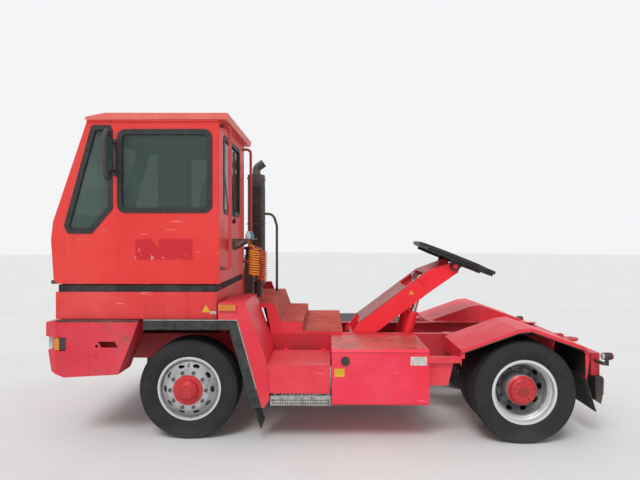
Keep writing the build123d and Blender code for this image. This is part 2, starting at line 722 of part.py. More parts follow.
deck_y0 = -side_y
deck_rear_x = boom_pivot_x + 110
tread_low_z = 892
tread_mid_z = 992
platform_z = 1190
tread_sheet = 8
tread_table = (
    # rear x, front x, low y, seat z
    (deck_rear_x, 350, -body_half_width, tread_low_z),
    (350, 588, deck_y0, tread_mid_z),
    (664, 1110, deck_y0, platform_z),
)
treads = [box(rear_x, front_x, low_y, rail_outer_y, seat_z, seat_z + tread_sheet)
          for rear_x, front_x, low_y, seat_z in tread_table]
riser_low = (580, tread_mid_z)
riser_high = (664, platform_z)
riser_profile = [
    riser_low, (riser_low[0] + 10, tread_mid_z), riser_high, (riser_high[0] + 3, platform_z + tread_sheet),
    (riser_high[0] - 7, platform_z + tread_sheet),
]
treads.append(slab_xz(riser_profile, deck_y0, rail_outer_y))
treads.append(box(350, 358, deck_y0, rail_outer_y, tread_low_z, tread_mid_z + tread_sheet))
save("deck_treads", join(treads))
cheek_web = 45
deck_cheek = [
    (358, rail_top_z), (358, tread_mid_z), (riser_low[0] + 10, tread_mid_z), riser_high, (1110, platform_z),
    (1110, platform_z - cheek_web), (740, platform_z - cheek_web), (690, rail_top_z),
]
cheek_y_table = (rail_outer_y - tread_sheet, -rail_outer_y, deck_y0)
cheeks = [slab_xz(deck_cheek, y, y + tread_sheet) for y in cheek_y_table]
runners = both_sides(box(deck_rear_x, 350, rail_inner_y, rail_outer_y, rail_top_z, tread_low_z))
cross_low = box(350, 480, deck_y0, rail_outer_y, rail_top_z, tread_low_z)
cross_high = box(1060, 1110, deck_y0, rail_outer_y, platform_z - cheek_web, platform_z)
deck_frame = join(cheeks + runners + [cross_low, cross_high])
platform_top_z = platform_z + tread_sheet

# exhaust stack and hand rail behind the cab

stack_x0 = 902
stack_x1 = 1112
stack_y0 = -985
stack_y1 = -775
stack_z0 = 1290
stack_z1 = 2689
stack_corner = 45
tip_radius = 52
stack_x = (stack_x0 + stack_x1) / 2
stack_y = (stack_y0 + stack_y1) / 2
stack = box(stack_x0, stack_x1, stack_y0, stack_y1, stack_z0, stack_z1)
stack = fillet(stack.edges().filter_by(Axis.Z), stack_corner)
stack_foot = Pos(stack_x, stack_y, (platform_top_z + stack_z0) / 2) * Cylinder(70, stack_z0 - platform_top_z)
tip_route = [(stack_x, stack_y, stack_z1), (stack_x, stack_y, stack_z1 + 90), (stack_x - 95, stack_y, stack_z1 + 160)]
tip = bent_tube(tip_route, 60, tip_radius)
intake_post = box(1016, base_rear_x, -740, -560, platform_top_z, 1640)
rail_tube = 16
stair_rail_x = 744
stair_rail_z = 2192
stair_rail = bent_tube(
    [(stair_rail_x, stack_y, platform_top_z + seat_gap), (stair_rail_x, stack_y, stair_rail_z - 152),
     (stair_rail_x + 46, stack_y, stair_rail_z), (stack_x0 + 2, stack_y, stair_rail_z)],
    90, rail_tube)
save("exhaust_stack", join([stack, stack_foot, tip, stair_rail]), intake_post)
save("deck_frame", deck_frame)

# rear mudguards, beam, jaw and lamps

guard_sheet = 8
guard_inner_y = 490
guard_table = (
    # x from the rear axle, z
    (593, 726), (589, 863), (66, 1051), (-51, 1065), (-541, 892), (-577, 838), (-550, 610),
)
guard_profile = [(rear_axle_x + x, z) for x, z in guard_table]
guard_lip = 34


guard_outer = slab_xz(guard_profile, guard_inner_y, body_half_width)
guard_void = shrunk(guard_profile, guard_sheet, guard_inner_y - 1, body_half_width + 1)
guard_open = slab_xz(
    [(guard_profile[0][0] - guard_sheet, 500), (guard_profile[0][0] - guard_sheet, guard_profile[0][1] + 60),
     (guard_profile[-1][0] + guard_sheet + 2, guard_profile[0][1] + 60), (guard_profile[-1][0] + guard_sheet, 500)],
    guard_inner_y - 1, body_half_width + 1,
)
guard_band_sheet = guard_outer - guard_void - guard_open
guard_lip_void = shrunk(guard_profile, guard_lip, guard_inner_y - 1, body_half_width + 1)
guard_lip_plate = slab_xz(guard_profile, body_half_width - guard_sheet, body_half_width) - guard_lip_void - guard_open
wall_low_z = rail_top_z + guard_sheet
guard_wall = slab_xz(guard_profile, guard_inner_y, guard_inner_y + guard_sheet) - box(
    rail_rear_x - 200, rear_axle_x + 800, 0, body_half_width, 300, wall_low_z)
guard_shelf = box(guard_profile[5][0] + 6, guard_profile[1][0] - 4, rail_inner_y, guard_inner_y + guard_sheet,
                  rail_top_z, wall_low_z)
tie_z0 = 745
tie_z1 = 800
tie_bar = box(guard_profile[0][0] - guard_sheet, tank_rear_x, side_y, body_half_width, tie_z0, tie_z1)
tie_gusset = slab_xz([(tank_rear_x, tie_z0), (tank_rear_x - 230, tie_z0), (tank_rear_x - 180, tie_z0 - 215),
                      (tank_rear_x, tie_z0 - 215)], side_y, side_y + guard_sheet)
guard = join([guard_band_sheet, guard_lip_plate, guard_wall, guard_shelf])
tie = join([tie_bar, tie_gusset]) - guard
for index, (_, name) in enumerate(left_right):
    save(f"rear_mudguard_{name}", both_sides(guard)[index], both_sides(tie)[index])

# rear beam, tow jaw, lamps and flaps

beam_front_x = rail_rear_x
beam_rear_x = rail_rear_x - 80
beam_half_y = body_half_width - 200
beam_z0 = 590
beam_z1 = 800
rear_beam = box(beam_rear_x, beam_front_x, -beam_half_y, beam_half_y, beam_z0, beam_z1)
jaw_rear_x = beam_rear_x - 248
jaw_half_width = 75
jaw_z0 = 640
jaw_z1 = 760
jaw_plate = 32
jaw_pin_x = jaw_rear_x + 70
jaw_bore_radius = 20.5
jaw_profile = [(beam_rear_x, -jaw_half_width), (beam_rear_x, jaw_half_width), (jaw_rear_x + 50, jaw_half_width),
               (jaw_rear_x, jaw_half_width - 45), (jaw_rear_x, -jaw_half_width + 45),
               (jaw_rear_x + 50, -jaw_half_width)]
tow_jaw = [
    slab_xy(jaw_profile, jaw_z0, jaw_z0 + jaw_plate),
    slab_xy(jaw_profile, jaw_z1 - jaw_plate, jaw_z1),
    box(beam_rear_x - 30, beam_rear_x, -jaw_half_width, jaw_half_width, jaw_z0, jaw_z1),
]
jaw_bore = Pos(jaw_pin_x, 0, (jaw_z0 + jaw_z1) / 2) * Cylinder(jaw_bore_radius, jaw_z1 - jaw_z0 + 40)
save("chassis_frame", join(frame_pieces + [rear_beam] + tow_jaw) - jaw_bore)
lamp_box_profile = [(beam_rear_x + 70, beam_z0), (beam_rear_x, beam_z0), (beam_rear_x + 5, 400),
                    (beam_rear_x + 20, 337), (beam_rear_x + 70, 370)]
lamp_box_y1 = beam_half_y + 70
lamp_box_y0 = lamp_box_y1 - 320
lamp_box = slab_xz(lamp_box_profile, lamp_box_y0, lamp_box_y1)
lens_thickness = 16
lens = slab_xz([(beam_rear_x - lens_thickness, 570), (beam_rear_x, 570), (beam_rear_x + 4.2, 420),
                (beam_rear_x + 4.2 - lens_thickness, 420)], lamp_box_y0 + 15, lamp_box_y1 - 15)
arm_radius = 17
arm_z = 733
arm_x = rail_rear_x - 40
arm_tip_x = arm_x - 38
arm_tip_y = body_half_width - 55
marker_radius = 34
marker_z = 800
arm = join([
    bar((arm_x, beam_half_y, arm_z), (arm_x, arm_tip_y - 10, arm_z), arm_radius),
    bar((arm_x, arm_tip_y - 10, arm_z), (arm_tip_x, arm_tip_y, arm_z), arm_radius),
    bar((arm_tip_x, arm_tip_y, arm_z - arm_radius), (arm_tip_x, arm_tip_y, marker_z - 28), arm_radius),
    Pos(arm_x, arm_tip_y - 10, arm_z) * Sphere(arm_radius),
    bar((arm_tip_x - marker_radius, arm_tip_y, marker_z), (arm_tip_x + marker_radius, arm_tip_y, marker_z),
        marker_radius),
])
save("lamp_housings", *both_sides(lamp_box), *both_sides(arm))
marker_ends = [
    bar((arm_tip_x + way * marker_radius, arm_tip_y, marker_z),
        (arm_tip_x + way * (marker_radius + 14), arm_tip_y, marker_z), marker_radius - 4)
    for way in (1, -1)
]
marker_front, marker_rear = marker_ends
save("clear_lamps", *both_sides(headlamp), *both_sides(marker_front))
save("red_lamps", *both_sides(lens), *both_sides(marker_rear))
flap_foot_z = 300
flap_sweep = 97
flap_thickness = 10
guard_foot_x = guard_profile[-1][0]
guard_foot_z = guard_profile[-1][1]
flap = slab_xz([(guard_foot_x, guard_foot_z), (guard_foot_x + flap_thickness, guard_foot_z),
                (guard_foot_x + flap_thickness - flap_sweep, flap_foot_z), (guard_foot_x - flap_sweep, flap_foot_z)],
               guard_inner_y + 80, body_half_width - 15)
front_flap_x = arch_foot_x + 73
front_flap = slab_xz([(front_flap_x, arch_foot_z + 8), (front_flap_x + flap_thickness, arch_foot_z + 8),
                      (front_flap_x + flap_thickness - 71, arch_foot_z - 188),
                      (front_flap_x - 71, arch_foot_z - 188)], body_half_width - 300, body_half_width)
save("rubber_guards", *both_sides(mudguard + front_flap), *both_sides(flap))

# lifting boom

boom_turn = radians(boom_angle)


def on_boom(along, above):
    """World (x, z) of a point on the boom, measured from its pivot."""
    x = boom_pivot_x - along * cos(boom_turn) + above * sin(boom_turn)
    z = boom_pivot_z + along * sin(boom_turn) + above * cos(boom_turn)
    return (x, z)


boom_top = 103
boom_knee = (1073, 100)
boom_outline = [
    # along the boom, above its centre line
    (55, 62), (168, boom_top), boom_knee, (1364, 12), (1412, -36), (1337, -110), (976, -96), (264, -96), (60, -66),
]
boom_side = slab_xz([on_boom(a, n) for a, n in boom_outline], boom_half_width - boom_plate, boom_half_width)
boom_boss_radius = 66
boom_bore = boom_pin_radius + running_fit
boss_tube = disc_y(boom_pivot_x, boom_pivot_z, boom_boss_radius, boom_half_width - boom_plate, boom_half_width)
boom_left = boom_side + boss_tube
top_sheet = 12
inner_half = boom_half_width - boom_plate
top_outline = ((185, boom_top), boom_knee, (boom_knee[0], boom_knee[1] - top_sheet), (185, boom_top - top_sheet))
top_plate = slab_xz([on_boom(a, n) for a, n in top_outline], -inner_half, inner_half)
window_half = 280
window_outline = ((800, 130), (1040, 130), (1040, 60), (800, 60))
top_window = slab_xz([on_boom(a, n) for a, n in window_outline], -window_half, window_half)
end_outline = (boom_knee, (1330, 21), (1330, 21 - top_sheet), (boom_knee[0], boom_knee[1] - top_sheet))
end_plate = slab_xz([on_boom(a, n) for a, n in end_outline], -inner_half, inner_half)
low_outline = ((1080, -96), (1337, -108), (1337, -96), (1080, -84))
end_low = slab_xz([on_boom(a, n) for a, n in low_outline], -inner_half, inner_half)
cross_tube = disc_y(*on_boom(170, 0), 60, -inner_half, inner_half)
pin_along = 987
pin_above = 50
lift_pin_x, lift_pin_z = on_boom(pin_along, pin_above)
eye_radius = 48
eye_half_width = 34
lift_lugs = []
for side in (1, -1):
    pad = disc_y(lift_pin_x, lift_pin_z, 40, side * (cylinder_y + eye_half_width + seat_gap), side * inner_half)
    cap = disc_y(lift_pin_x, lift_pin_z, 34, side * boom_half_width, side * (boom_half_width + 12))
    lift_lugs += [pad, cap]
plate_pivot_along = 1345
plate_pivot_above = -35
plate_pivot_x, plate_pivot_z = on_boom(plate_pivot_along, plate_pivot_above)
plate_pin_radius = 26
plate_stubs = [disc_y(plate_pivot_x, plate_pivot_z, plate_pin_radius, side * boom_half_width,
                      side * (boom_half_width + 42)) for side in (1, -1)]
boom = join([boom_left, mirror(boom_left, about=Plane.XZ), top_plate - top_window, end_plate, end_low, cross_tube]
            + lift_lugs + plate_stubs)
boom = boom - disc_y(boom_pivot_x, boom_pivot_z, boom_bore, -boom_half_width - 5, boom_half_width + 5)
save("boom", boom)

# fifth wheel

plate_turn = radians(plate_angle)
plate_ear_inner_y = boom_half_width + 5
plate_ear_outer_y = plate_ear_inner_y + 34
plate_half_width = 457


def on_plate(along, above):
    """World (x, z) of a point on the fifth wheel, measured from its pivot, forward and up."""
    x = plate_pivot_x + along * cos(plate_turn) - above * sin(plate_turn)
    z = plate_pivot_z + along * sin(plate_turn) + above * cos(plate_turn)
    return (x, z)


plate_plane = Plane(origin=(on_plate(0, plate_pivot_drop)[0], 0, on_plate(0, plate_pivot_drop)[1]),
                    x_dir=(cos(plate_turn), 0, sin(plate_turn)), z_dir=(-sin(plate_turn), 0, cos(plate_turn)))
plate_outline = [
    (432, 0), (425, 230), (360, 350), (215, 440), (120, plate_half_width), (-190, plate_half_width), (-330, 335),
    (-440, 300), (-440, 205), (-300, 120), (-150, 55), (-120, kingpin_bore_radius), (0, kingpin_bore_radius),
]
outline = plate_outline + [(a, -b) for a, b in reversed(plate_outline[1:])]
plate_face = plate_plane * make_face(Polyline(*outline, close=True))
plate_top = extrude(plate_face, amount=-plate_thickness)
plate_bore = plate_plane * Pos(0, 0, -plate_thickness / 2) * Cylinder(kingpin_bore_radius, plate_thickness + 40)
skirt_depth = 62
skirt_wall = 16
lock_wall_x = 46
skirt_outline = [
    (418, 0), (411, 222), (350, 336), (210, 424), (118, 440), (-182, 440), (-318, 322), (-425, 290), (-425, 215),
    (-296, 136), (-150, 74), (-110, 60), (lock_wall_x, 60),
]
skirt_ring = skirt_outline + [(a, -b) for a, b in reversed(skirt_outline[1:])]
skirt_face = make_face(Polyline(*skirt_ring, close=True))
skirt_inner = offset(skirt_face, amount=-skirt_wall, kind=Kind.INTERSECTION)
skirt = extrude(plate_plane * skirt_face, amount=-skirt_depth) - extrude(
    plate_plane * skirt_inner, amount=-skirt_depth - 5)
boom_clear_y = boom_half_width + moving_gap
boom_clear = plate_plane * Pos(330, 0, -plate_thickness - skirt_depth / 2) * Box(400, 2 * boom_clear_y, skirt_depth)
lock_depth = 50
lock_rear_x = -150
lock_front_x = 90
lock_half_width = 100
lock_clear = plate_plane * Pos((lock_rear_x + lock_front_x) / 2, 0, -lock_depth - skirt_depth / 2) * Box(
    lock_front_x - lock_rear_x, 2 * lock_half_width, skirt_depth)
skirt = skirt - boom_clear - lock_clear
ears = []
for side in (1, -1):
    low_y = min(side * plate_ear_inner_y, side * plate_ear_outer_y)
    ear = slab_xz([on_plate(a, n) for a, n in ((-75, 90), (75, 90), (45, -20), (-45, -20))], low_y,
                  low_y + plate_ear_outer_y - plate_ear_inner_y)
    ear += disc_y(plate_pivot_x, plate_pivot_z, 48, low_y, low_y + plate_ear_outer_y - plate_ear_inner_y)
    ears.append(ear)
plate = join([plate_top, skirt] + ears) - plate_bore
plate = plate - disc_y(plate_pivot_x, plate_pivot_z, plate_pin_radius + running_fit, -500, 500)
save("fifth_wheel_plate", plate)

# lift cylinders

cylinder_length = hypot(lift_pin_x - lower_pin_x, lift_pin_z - lower_pin_z)
barrel_length = 440
print("lift cylinder length at rest", round(cylinder_length, 1))
print("lift pin", round(lift_pin_x, 2), round(lift_pin_z, 2))
print("plate pivot", round(plate_pivot_x, 2), round(plate_pivot_z, 2))


def on_cylinder(along):
    """World (x, z) of a point on the lift cylinders' centre line, from the lower pin."""
    share = along / cylinder_length
    return (lower_pin_x + (lift_pin_x - lower_pin_x) * share, lower_pin_z + (lift_pin_z - lower_pin_z) * share)


barrels = []
rods = []
for side in (1, -1):
    y = side * cylinder_y
    foot = on_cylinder(0)
    barrel_start = on_cylinder(38)
    gland = on_cylinder(barrel_length)
    barrel_mid = on_cylinder(barrel_length - 40)
    eye = disc_y(foot[0], foot[1], 54, y - eye_half_width, y + eye_half_width)
    body = bar((barrel_start[0], y, barrel_start[1]), (gland[0], y, gland[1]), cylinder_barrel_radius)
    collar = bar((barrel_mid[0], y, barrel_mid[1]), (gland[0], y, gland[1]), cylinder_barrel_radius + 7)
    hollow_start = on_cylinder(100)
    bore_end = on_cylinder(barrel_length + 5)
    hollow = bar((hollow_start[0], y, hollow_start[1]), (bore_end[0], y, bore_end[1]),
                 cylinder_rod_radius + running_fit)
    pin_bore = disc_y(foot[0], foot[1], boom_pin_radius + running_fit, y - 60, y + 60)
    barrels.append(join([eye, body, collar]) - hollow - pin_bore)
    rod_start = on_cylinder(barrel_length - 50)
    rod_end = on_cylinder(cylinder_length - 20)
    rod = bar((rod_start[0], y, rod_start[1]), (rod_end[0], y, rod_end[1]), cylinder_rod_radius)
    rods.append(rod + disc_y(lift_pin_x, lift_pin_z, eye_radius, y - eye_half_width, y + eye_half_width))
save("lift_barrels", *barrels)
save("lift_rods", *rods)

# cab shell

screen_low = (2640, 2039)
screen_high = (2318, cab_roof_z)
cab_profile = [(cab_front_foot_x, cab_floor_z), (2660, 1872), screen_low, screen_high, (cab_rear_x, cab_roof_z),
               (cab_rear_x, cab_floor_z)]
seal_width = 48
seal_depth = 44
glass_thickness = 6
inner_left_y = cab_left_y - cab_wall
inner_right_y = cab_right_y + cab_wall
window_corner = 80


def pane_set(face, inward, depth):
    """Opening, rubber seal and glass for one window whose face lies on the outer skin."""
    inward = Vector(*inward)
    proud = 6
    opening = extrude(face.moved(Location(inward * -20)), amount=depth + 40, dir=tuple(inward))
    outer = offset(face, amount=-curved_gap)
    inner = offset(face, amount=-seal_width)
    ring_start = Location(inward * -proud)
    seal = extrude(outer.moved(ring_start), amount=seal_depth, dir=tuple(inward)) - extrude(
        inner.moved(ring_start), amount=seal_depth, dir=tuple(inward))
    glass_face = offset(face, amount=-seal_width - seat_gap)
    glass = extrude(glass_face.moved(Location(inward * 12)), amount=glass_thickness, dir=tuple(inward))
    return opening, seal, glass


def side_face(points, corner, y):
    """A side window's outline with rounded corners."""
    face = make_face(Polyline(*[(x, y, z) for x, z in points], close=True))
    return fillet(face.vertices(), corner)


sill_z = 2118
window_top_z = cab_roof_z - 86
quarter_top_z = cab_roof_z - 47
door_x0 = 1190
door_x1 = 1840
door_z0 = 1530
door_z1 = cab_roof_z - 51
door_frame_width = 60
main_window = [(2041, window_top_z), (1155, window_top_z), (1155, sill_z), (2041, sill_z)]
quarter_window = [
    (screen_high[0] - 40, quarter_top_z), (2101, quarter_top_z), (2080, quarter_top_z - 51), (2080, 2158),
    (2278, 1927), (2502, 1927), (2537, 2000),
]
door_window = [
    (door_x1 - door_frame_width, door_z1 - door_frame_width), (door_x0 + door_frame_width, door_z1 - door_frame_width),
    (door_x0 + door_frame_width, sill_z), (door_x1 - door_frame_width, sill_z),
]
left_main = pane_set(side_face(main_window, window_corner, cab_left_y), (0, -1, 0), cab_wall)
left_quarter = pane_set(side_face(quarter_window, 26, cab_left_y), (0, -1, 0), cab_wall)
right_quarter = pane_set(side_face(quarter_window, 26, cab_right_y), (0, 1, 0), cab_wall)
door_pane = pane_set(side_face(door_window, window_corner, cab_right_y), (0, 1, 0), cab_wall)
rear_window_y0 = -60
rear_window_y1 = 960
rear_middle = (cab_rear_x, (rear_window_y0 + rear_window_y1) / 2, (window_top_z + sill_z) / 2)
rear_plane = Plane(origin=rear_middle, x_dir=(0, 1, 0), z_dir=(1, 0, 0))
rear_face = rear_plane * RectangleRounded(rear_window_y1 - rear_window_y0, window_top_z - sill_z, window_corner)
rear_pane = pane_set(rear_face, (1, 0, 0), cab_wall)
screen_slope = hypot(screen_high[0] - screen_low[0], screen_high[1] - screen_low[1])
screen_up = Vector(screen_high[0] - screen_low[0], 0, screen_high[1] - screen_low[1]).normalized()
screen_inward = (-screen_up.Z, 0, screen_up.X)
screen_margin = 42
screen_centre_y = (inner_left_y + inner_right_y) / 2
screen_middle = ((screen_low[0] + screen_high[0]) / 2, screen_centre_y, (screen_low[1] + screen_high[1]) / 2)
screen_plane = Plane(origin=screen_middle, x_dir=(0, 1, 0), z_dir=screen_inward)
screen_face = screen_plane * RectangleRounded(inner_left_y - inner_right_y - 2 * screen_margin,
                                              screen_slope - 2 * screen_margin, 70)
screen_pane = pane_set(screen_face, screen_inward, cab_wall)

side_left = slab_xz(cab_profile, inner_left_y, cab_left_y) - left_main[0] - left_quarter[0]
save("cab_side_left", side_left)

door_gap = 5
door_opening = box(door_x0, door_x1, cab_right_y - 5, inner_right_y + 5, door_z0, door_z1)
side_right = slab_xz(cab_profile, cab_right_y, inner_right_y) - door_opening - right_quarter[0]
door_panel = box(door_x0 + door_gap, door_x1 - door_gap, cab_right_y, inner_right_y, door_z0 + door_gap,
                 door_z1 - door_gap)
hinge_x = door_x1 + 12
hinge_y = cab_right_y - 14
hinge_z_table = (door_z0 + 150, 2240, door_z1 - 130)
hinge_pin_radius = 7
knuckle_radius = 13
door_leaves = []
body_leaves = []
for z in hinge_z_table:
    knuckle_shape = Pos(hinge_x, hinge_y, z + 22) * Cylinder(knuckle_radius, 40)
    leaf = box(door_x1 - 46, hinge_x, cab_right_y - 6, cab_right_y, z + 2, z + 42)
    leaf_bore = Pos(hinge_x, hinge_y, z + 22) * Cylinder(hinge_pin_radius + running_fit, 60)
    door_leaves.append((knuckle_shape + leaf) - leaf_bore)
    low_knuckle = Pos(hinge_x, hinge_y, z - 21) * Cylinder(knuckle_radius, 40)
    low_leaf = box(hinge_x, hinge_x + 60, cab_right_y - 6, cab_right_y, z - 41, z - 1)
    pin = Pos(hinge_x, hinge_y, z + 2) * Cylinder(hinge_pin_radius, 84)
    body_leaves.append(low_knuckle + low_leaf + pin)
handle_x = door_x0 + 15
handle_low_z = 2000
handle_high_z = handle_low_z + 170
handle_width = 30
handle_reach = 42
handle_grip = 14
door_handle = join([
    box(handle_x, handle_x + handle_width, cab_right_y - handle_reach, cab_right_y, handle_low_z, handle_low_z + 20),
    box(handle_x, handle_x + handle_width, cab_right_y - handle_reach, cab_right_y, handle_high_z - 20,
        handle_high_z),
    box(handle_x, handle_x + handle_width, cab_right_y - handle_reach, cab_right_y - handle_reach + handle_grip,
        handle_low_z, handle_high_z),
])
save("cab_door", join([door_panel - door_pane[0], door_handle] + door_leaves))
save("cab_door_glass", door_pane[2])
save("cab_door_seal", door_pane[1])
save("cab_side_right", join([side_right] + body_leaves))

front_band = [(x, z) for x, z in cab_profile[:4]] + [(x - cab_wall, z) for x, z in reversed(cab_profile[:4])]
save("cab_front", slab_xz(front_band, inner_right_y, inner_left_y) - screen_pane[0])
save("cab_rear_wall", box(cab_rear_x, cab_rear_x + cab_wall, inner_right_y, inner_left_y, cab_floor_z, cab_roof_z)
     - rear_pane[0])
save("cab_seals", left_main[1], left_quarter[1], right_quarter[1], rear_pane[1], screen_pane[1])
save("cab_glass", left_main[2], left_quarter[2], right_quarter[2], rear_pane[2], screen_pane[2])

roof_profile = [
    (screen_high[0] + 24, cab_roof_z + 8), (screen_high[0] + 8, cab_roof_z), (cab_rear_x - 73, cab_roof_z),
    (cab_rear_x - 91, cab_roof_z + 53), (cab_rear_x - 82, cab_roof_z + 60), (2146, cab_roof_z + 64),
    (screen_high[0] + 4, cab_roof_z + 30),
]
roof_side = 12
save("cab_roof", slab_xz(roof_profile, cab_right_y - roof_side, cab_left_y + roof_side))

floor_thickness = 30
tilt_x = 2585
tilt_z = 1435
tilt_pin_radius = 15
tilt_lug_radius = 26
tilt_y_table = (60, 740)
floor_plate = box(cab_rear_x + cab_wall, cab_front_foot_x - cab_wall, inner_right_y, inner_left_y, cab_floor_z,
                  cab_floor_z + floor_thickness)
tilt_lugs = []
tilt_forks = []
for y in tilt_y_table:
    lug = disc_y(tilt_x, tilt_z, tilt_lug_radius, y, y + 30)
    lug += slab_xz([(tilt_x - tilt_lug_radius, tilt_z), (tilt_x - tilt_lug_radius - 20, cab_floor_z + 2),
                    (tilt_x + 6, cab_floor_z + 2), (tilt_x + tilt_lug_radius - 2, tilt_z)], y, y + 30)
    tilt_lugs.append(lug - disc_y(tilt_x, tilt_z, tilt_pin_radius + running_fit, y - 2, y + 32))
    fork = disc_y(tilt_x, tilt_z, tilt_pin_radius, y - 18, y + 48)
    for cheek_y in (y - 18, y + 36):
        fork_outline = [
            (tilt_x - 16, tilt_z + 14), (tilt_x - 40, band_bottom_z - 30),
            (base_front_x - base_wall, band_bottom_z - 30), (base_front_x - base_wall, band_bottom_z - 4),
            (tilt_x + 12, tilt_z + 8),
        ]
        fork += slab_xz(fork_outline, cheek_y, cheek_y + 12)
    tilt_forks.append(fork)
save("cab_floor", join([floor_plate] + tilt_lugs))
save("cab_base", join(base_pieces + tilt_forks))
band_notches = [
    box(tilt_x - 60, base_front_x, y - 30, y + 60, band_bottom_z - 1, cab_floor_z) for y in tilt_y_table
]
save("cab_gap_band", band.cut(*band_notches), *mounts)

# cab interior

seat_y = 400
floor_top_z = cab_floor_z + floor_thickness
seat_height = 1824
seat_pan = 24
seat_x = 1680
seat_half_width = 240
cushion_thickness = 126
cushion_length = 500
back_height = 610
back_low_z = seat_height + cushion_thickness + 0.5
cushion_x0 = seat_x - cushion_length / 2
save("seat_base", join([
    box(seat_x - 180, seat_x + 160, seat_y - 170, seat_y + 170, floor_top_z, floor_top_z + 30),
    box(seat_x - 120, seat_x + 100, seat_y - 120, seat_y + 120, floor_top_z + 30, seat_height - seat_pan),
    box(cushion_x0 + 10, cushion_x0 + cushion_length - 50, seat_y - seat_half_width + 40, seat_y + seat_half_width - 40,
        seat_height - seat_pan, seat_height - seat_gap),
]))
cushion = box(cushion_x0, cushion_x0 + cushion_length, seat_y - seat_half_width, seat_y + seat_half_width, seat_height,
              seat_height + cushion_thickness)
back_profile = [
    (cushion_x0, back_low_z), (cushion_x0 - 100, back_low_z + back_height),
    (cushion_x0 - 200, back_low_z + back_height - 15), (cushion_x0 - 120, back_low_z),
]
back_block = slab_xz(back_profile, seat_y - seat_half_width + 5, seat_y + seat_half_width - 5)
save("seat_cushions", fillet(cushion.edges(), 40), fillet(back_block.edges(), 34))
dash_profile = [(2611, 1740), (2619.6, 1872), (2603, 2010), (2330, 1985), (2290, 1900), (2460, 1740)]
dashboard = slab_xz(dash_profile, inner_right_y + 30, inner_left_y - 30)
column_foot = (2380, seat_y, floor_top_z)
column_head = (2150, seat_y, 2110)
column = bar(column_foot, column_head, 30)
column_seat = Pos(column_foot[0], seat_y, floor_top_z + 20) * Cylinder(70, 40)
below_floor = box(2200, 2600, seat_y - 200, seat_y + 200, floor_top_z - 100, floor_top_z)
column = (column + column_seat) - below_floor
save("dashboard", dashboard + column)
wheel_along = Vector(*column_head) - Vector(*column_foot)
wheel_plane = Plane(origin=Vector(*column_head) + wheel_along.normalized() * 0.3, z_dir=wheel_along)
wheel_rim_section = Plane.XZ * Pos(205, 30) * RegularPolygon(15, 8)
wheel_rim = wheel_plane * revolve(wheel_rim_section, axis=Axis.Z)
wheel_hub = wheel_plane * Cylinder(48, 44, align=(Align.CENTER, Align.CENTER, Align.MIN))
spokes = [wheel_plane * Rot(0, 0, 90 + index * 120) * Pos(118, 0, 30) * Box(160, 26, 12) for index in range(3)]
save("steering_wheel", join([wheel_rim, wheel_hub] + spokes))

# mirrors, rails, wiper and couplings on the cab

mirror_arm_x = 2058
mirror_half_depth = 21
mirror_inner_reach = 90
mirror_top_z = cab_roof_z - 121
mirror_arm_radius = 13
mirror_chamfer = 12
mirror_outline = [
    # outward from the housing's inner edge, down from its top
    (10, 100), (30, 24), (66, 0), (130, 0), (168, 30), (188, 120), (180, 300), (152, 425), (124, 452), (72, 452),
    (36, 420), (10, 300),
]
mirrors = []
for side, wall_y in ((1, cab_left_y), (-1, cab_right_y)):
    inner_y = wall_y + side * mirror_inner_reach
    if side < 0:
        inner_y = -cab_left_y - mirror_inner_reach
    outline = [(inner_y + side * a, mirror_top_z - drop) for a, drop in mirror_outline]
    housing = slab_yz(outline, mirror_arm_x - mirror_half_depth, mirror_arm_x + mirror_half_depth)
    broad_edges = housing.edges().filter_by(Axis.X, reverse=True)
    housing = chamfer(broad_edges, mirror_chamfer)
    arms = [bar((mirror_arm_x, wall_y, mirror_top_z - drop), (mirror_arm_x, inner_y + side * 30, mirror_top_z - drop),
                mirror_arm_radius) for drop in (100, 360)]
    foot = box(mirror_arm_x - 13, mirror_arm_x + 15, wall_y, wall_y + side * 16, mirror_top_z - 400,
               mirror_top_z - 60)
    mirrors.append(join([housing] + arms + [foot]))
save("mirrors", *mirrors)
rail_x = cab_rear_x - 88
rail_z0 = 1600
rail_z1 = cab_roof_z - 41
grab_rails = [
    bent_tube([(cab_rear_x, y, rail_z0), (rail_x, y, rail_z0), (rail_x, y, rail_z1), (cab_rear_x, y, rail_z1)], 50,
              rail_tube)
    for y in (cab_left_y - 100, cab_right_y + 50)
]
wiper_y = 400
wiper_z = 2060
wiper_tip = (650, cab_roof_z - 401)
wiper_x = cab_rear_x - 22
wiper = join([
    bar((wiper_x - 6, wiper_y, wiper_z), (cab_rear_x, wiper_y, wiper_z), 22),
    bar((wiper_x, wiper_y, wiper_z), (wiper_x, wiper_tip[0], wiper_tip[1]), 7),
    box(wiper_x - 7, wiper_x + 7, wiper_tip[0] - 8, wiper_tip[0] + 8, wiper_tip[1] - 250, wiper_tip[1] + 260),
])
bracket_z = 1870
bracket_thickness = 8
bracket_y0 = 340
bracket_y1 = 700
bracket_x0 = 850
bracket_lip = 120
coupling_x = 905
coil_table = (
    # name, x, y, coil's top, coil's bottom, coil's radius
    ("air_coil_yellow", 842, 640, 1790, 1460, 60),
    ("air_coil_red", 776, 505, 1760, 1394, 58),
    ("electric_coil_black", 832, 375, 1450, 1215, 48),
)
bracket_side = [(cab_rear_x - bracket_thickness, bracket_z), (cab_rear_x - bracket_thickness, bracket_z - bracket_lip),
                (bracket_x0 + 20, bracket_z)]
bracket = join([
    box(bracket_x0, cab_rear_x, bracket_y0, bracket_y1, bracket_z, bracket_z + bracket_thickness),
    box(cab_rear_x - bracket_thickness, cab_rear_x, bracket_y0, bracket_y1, bracket_z - bracket_lip,
        bracket_z + bracket_thickness),
    slab_xz(bracket_side, bracket_y0, bracket_y0 + bracket_thickness),
    slab_xz(bracket_side, bracket_y1 - bracket_thickness, bracket_y1),
])
heads = []
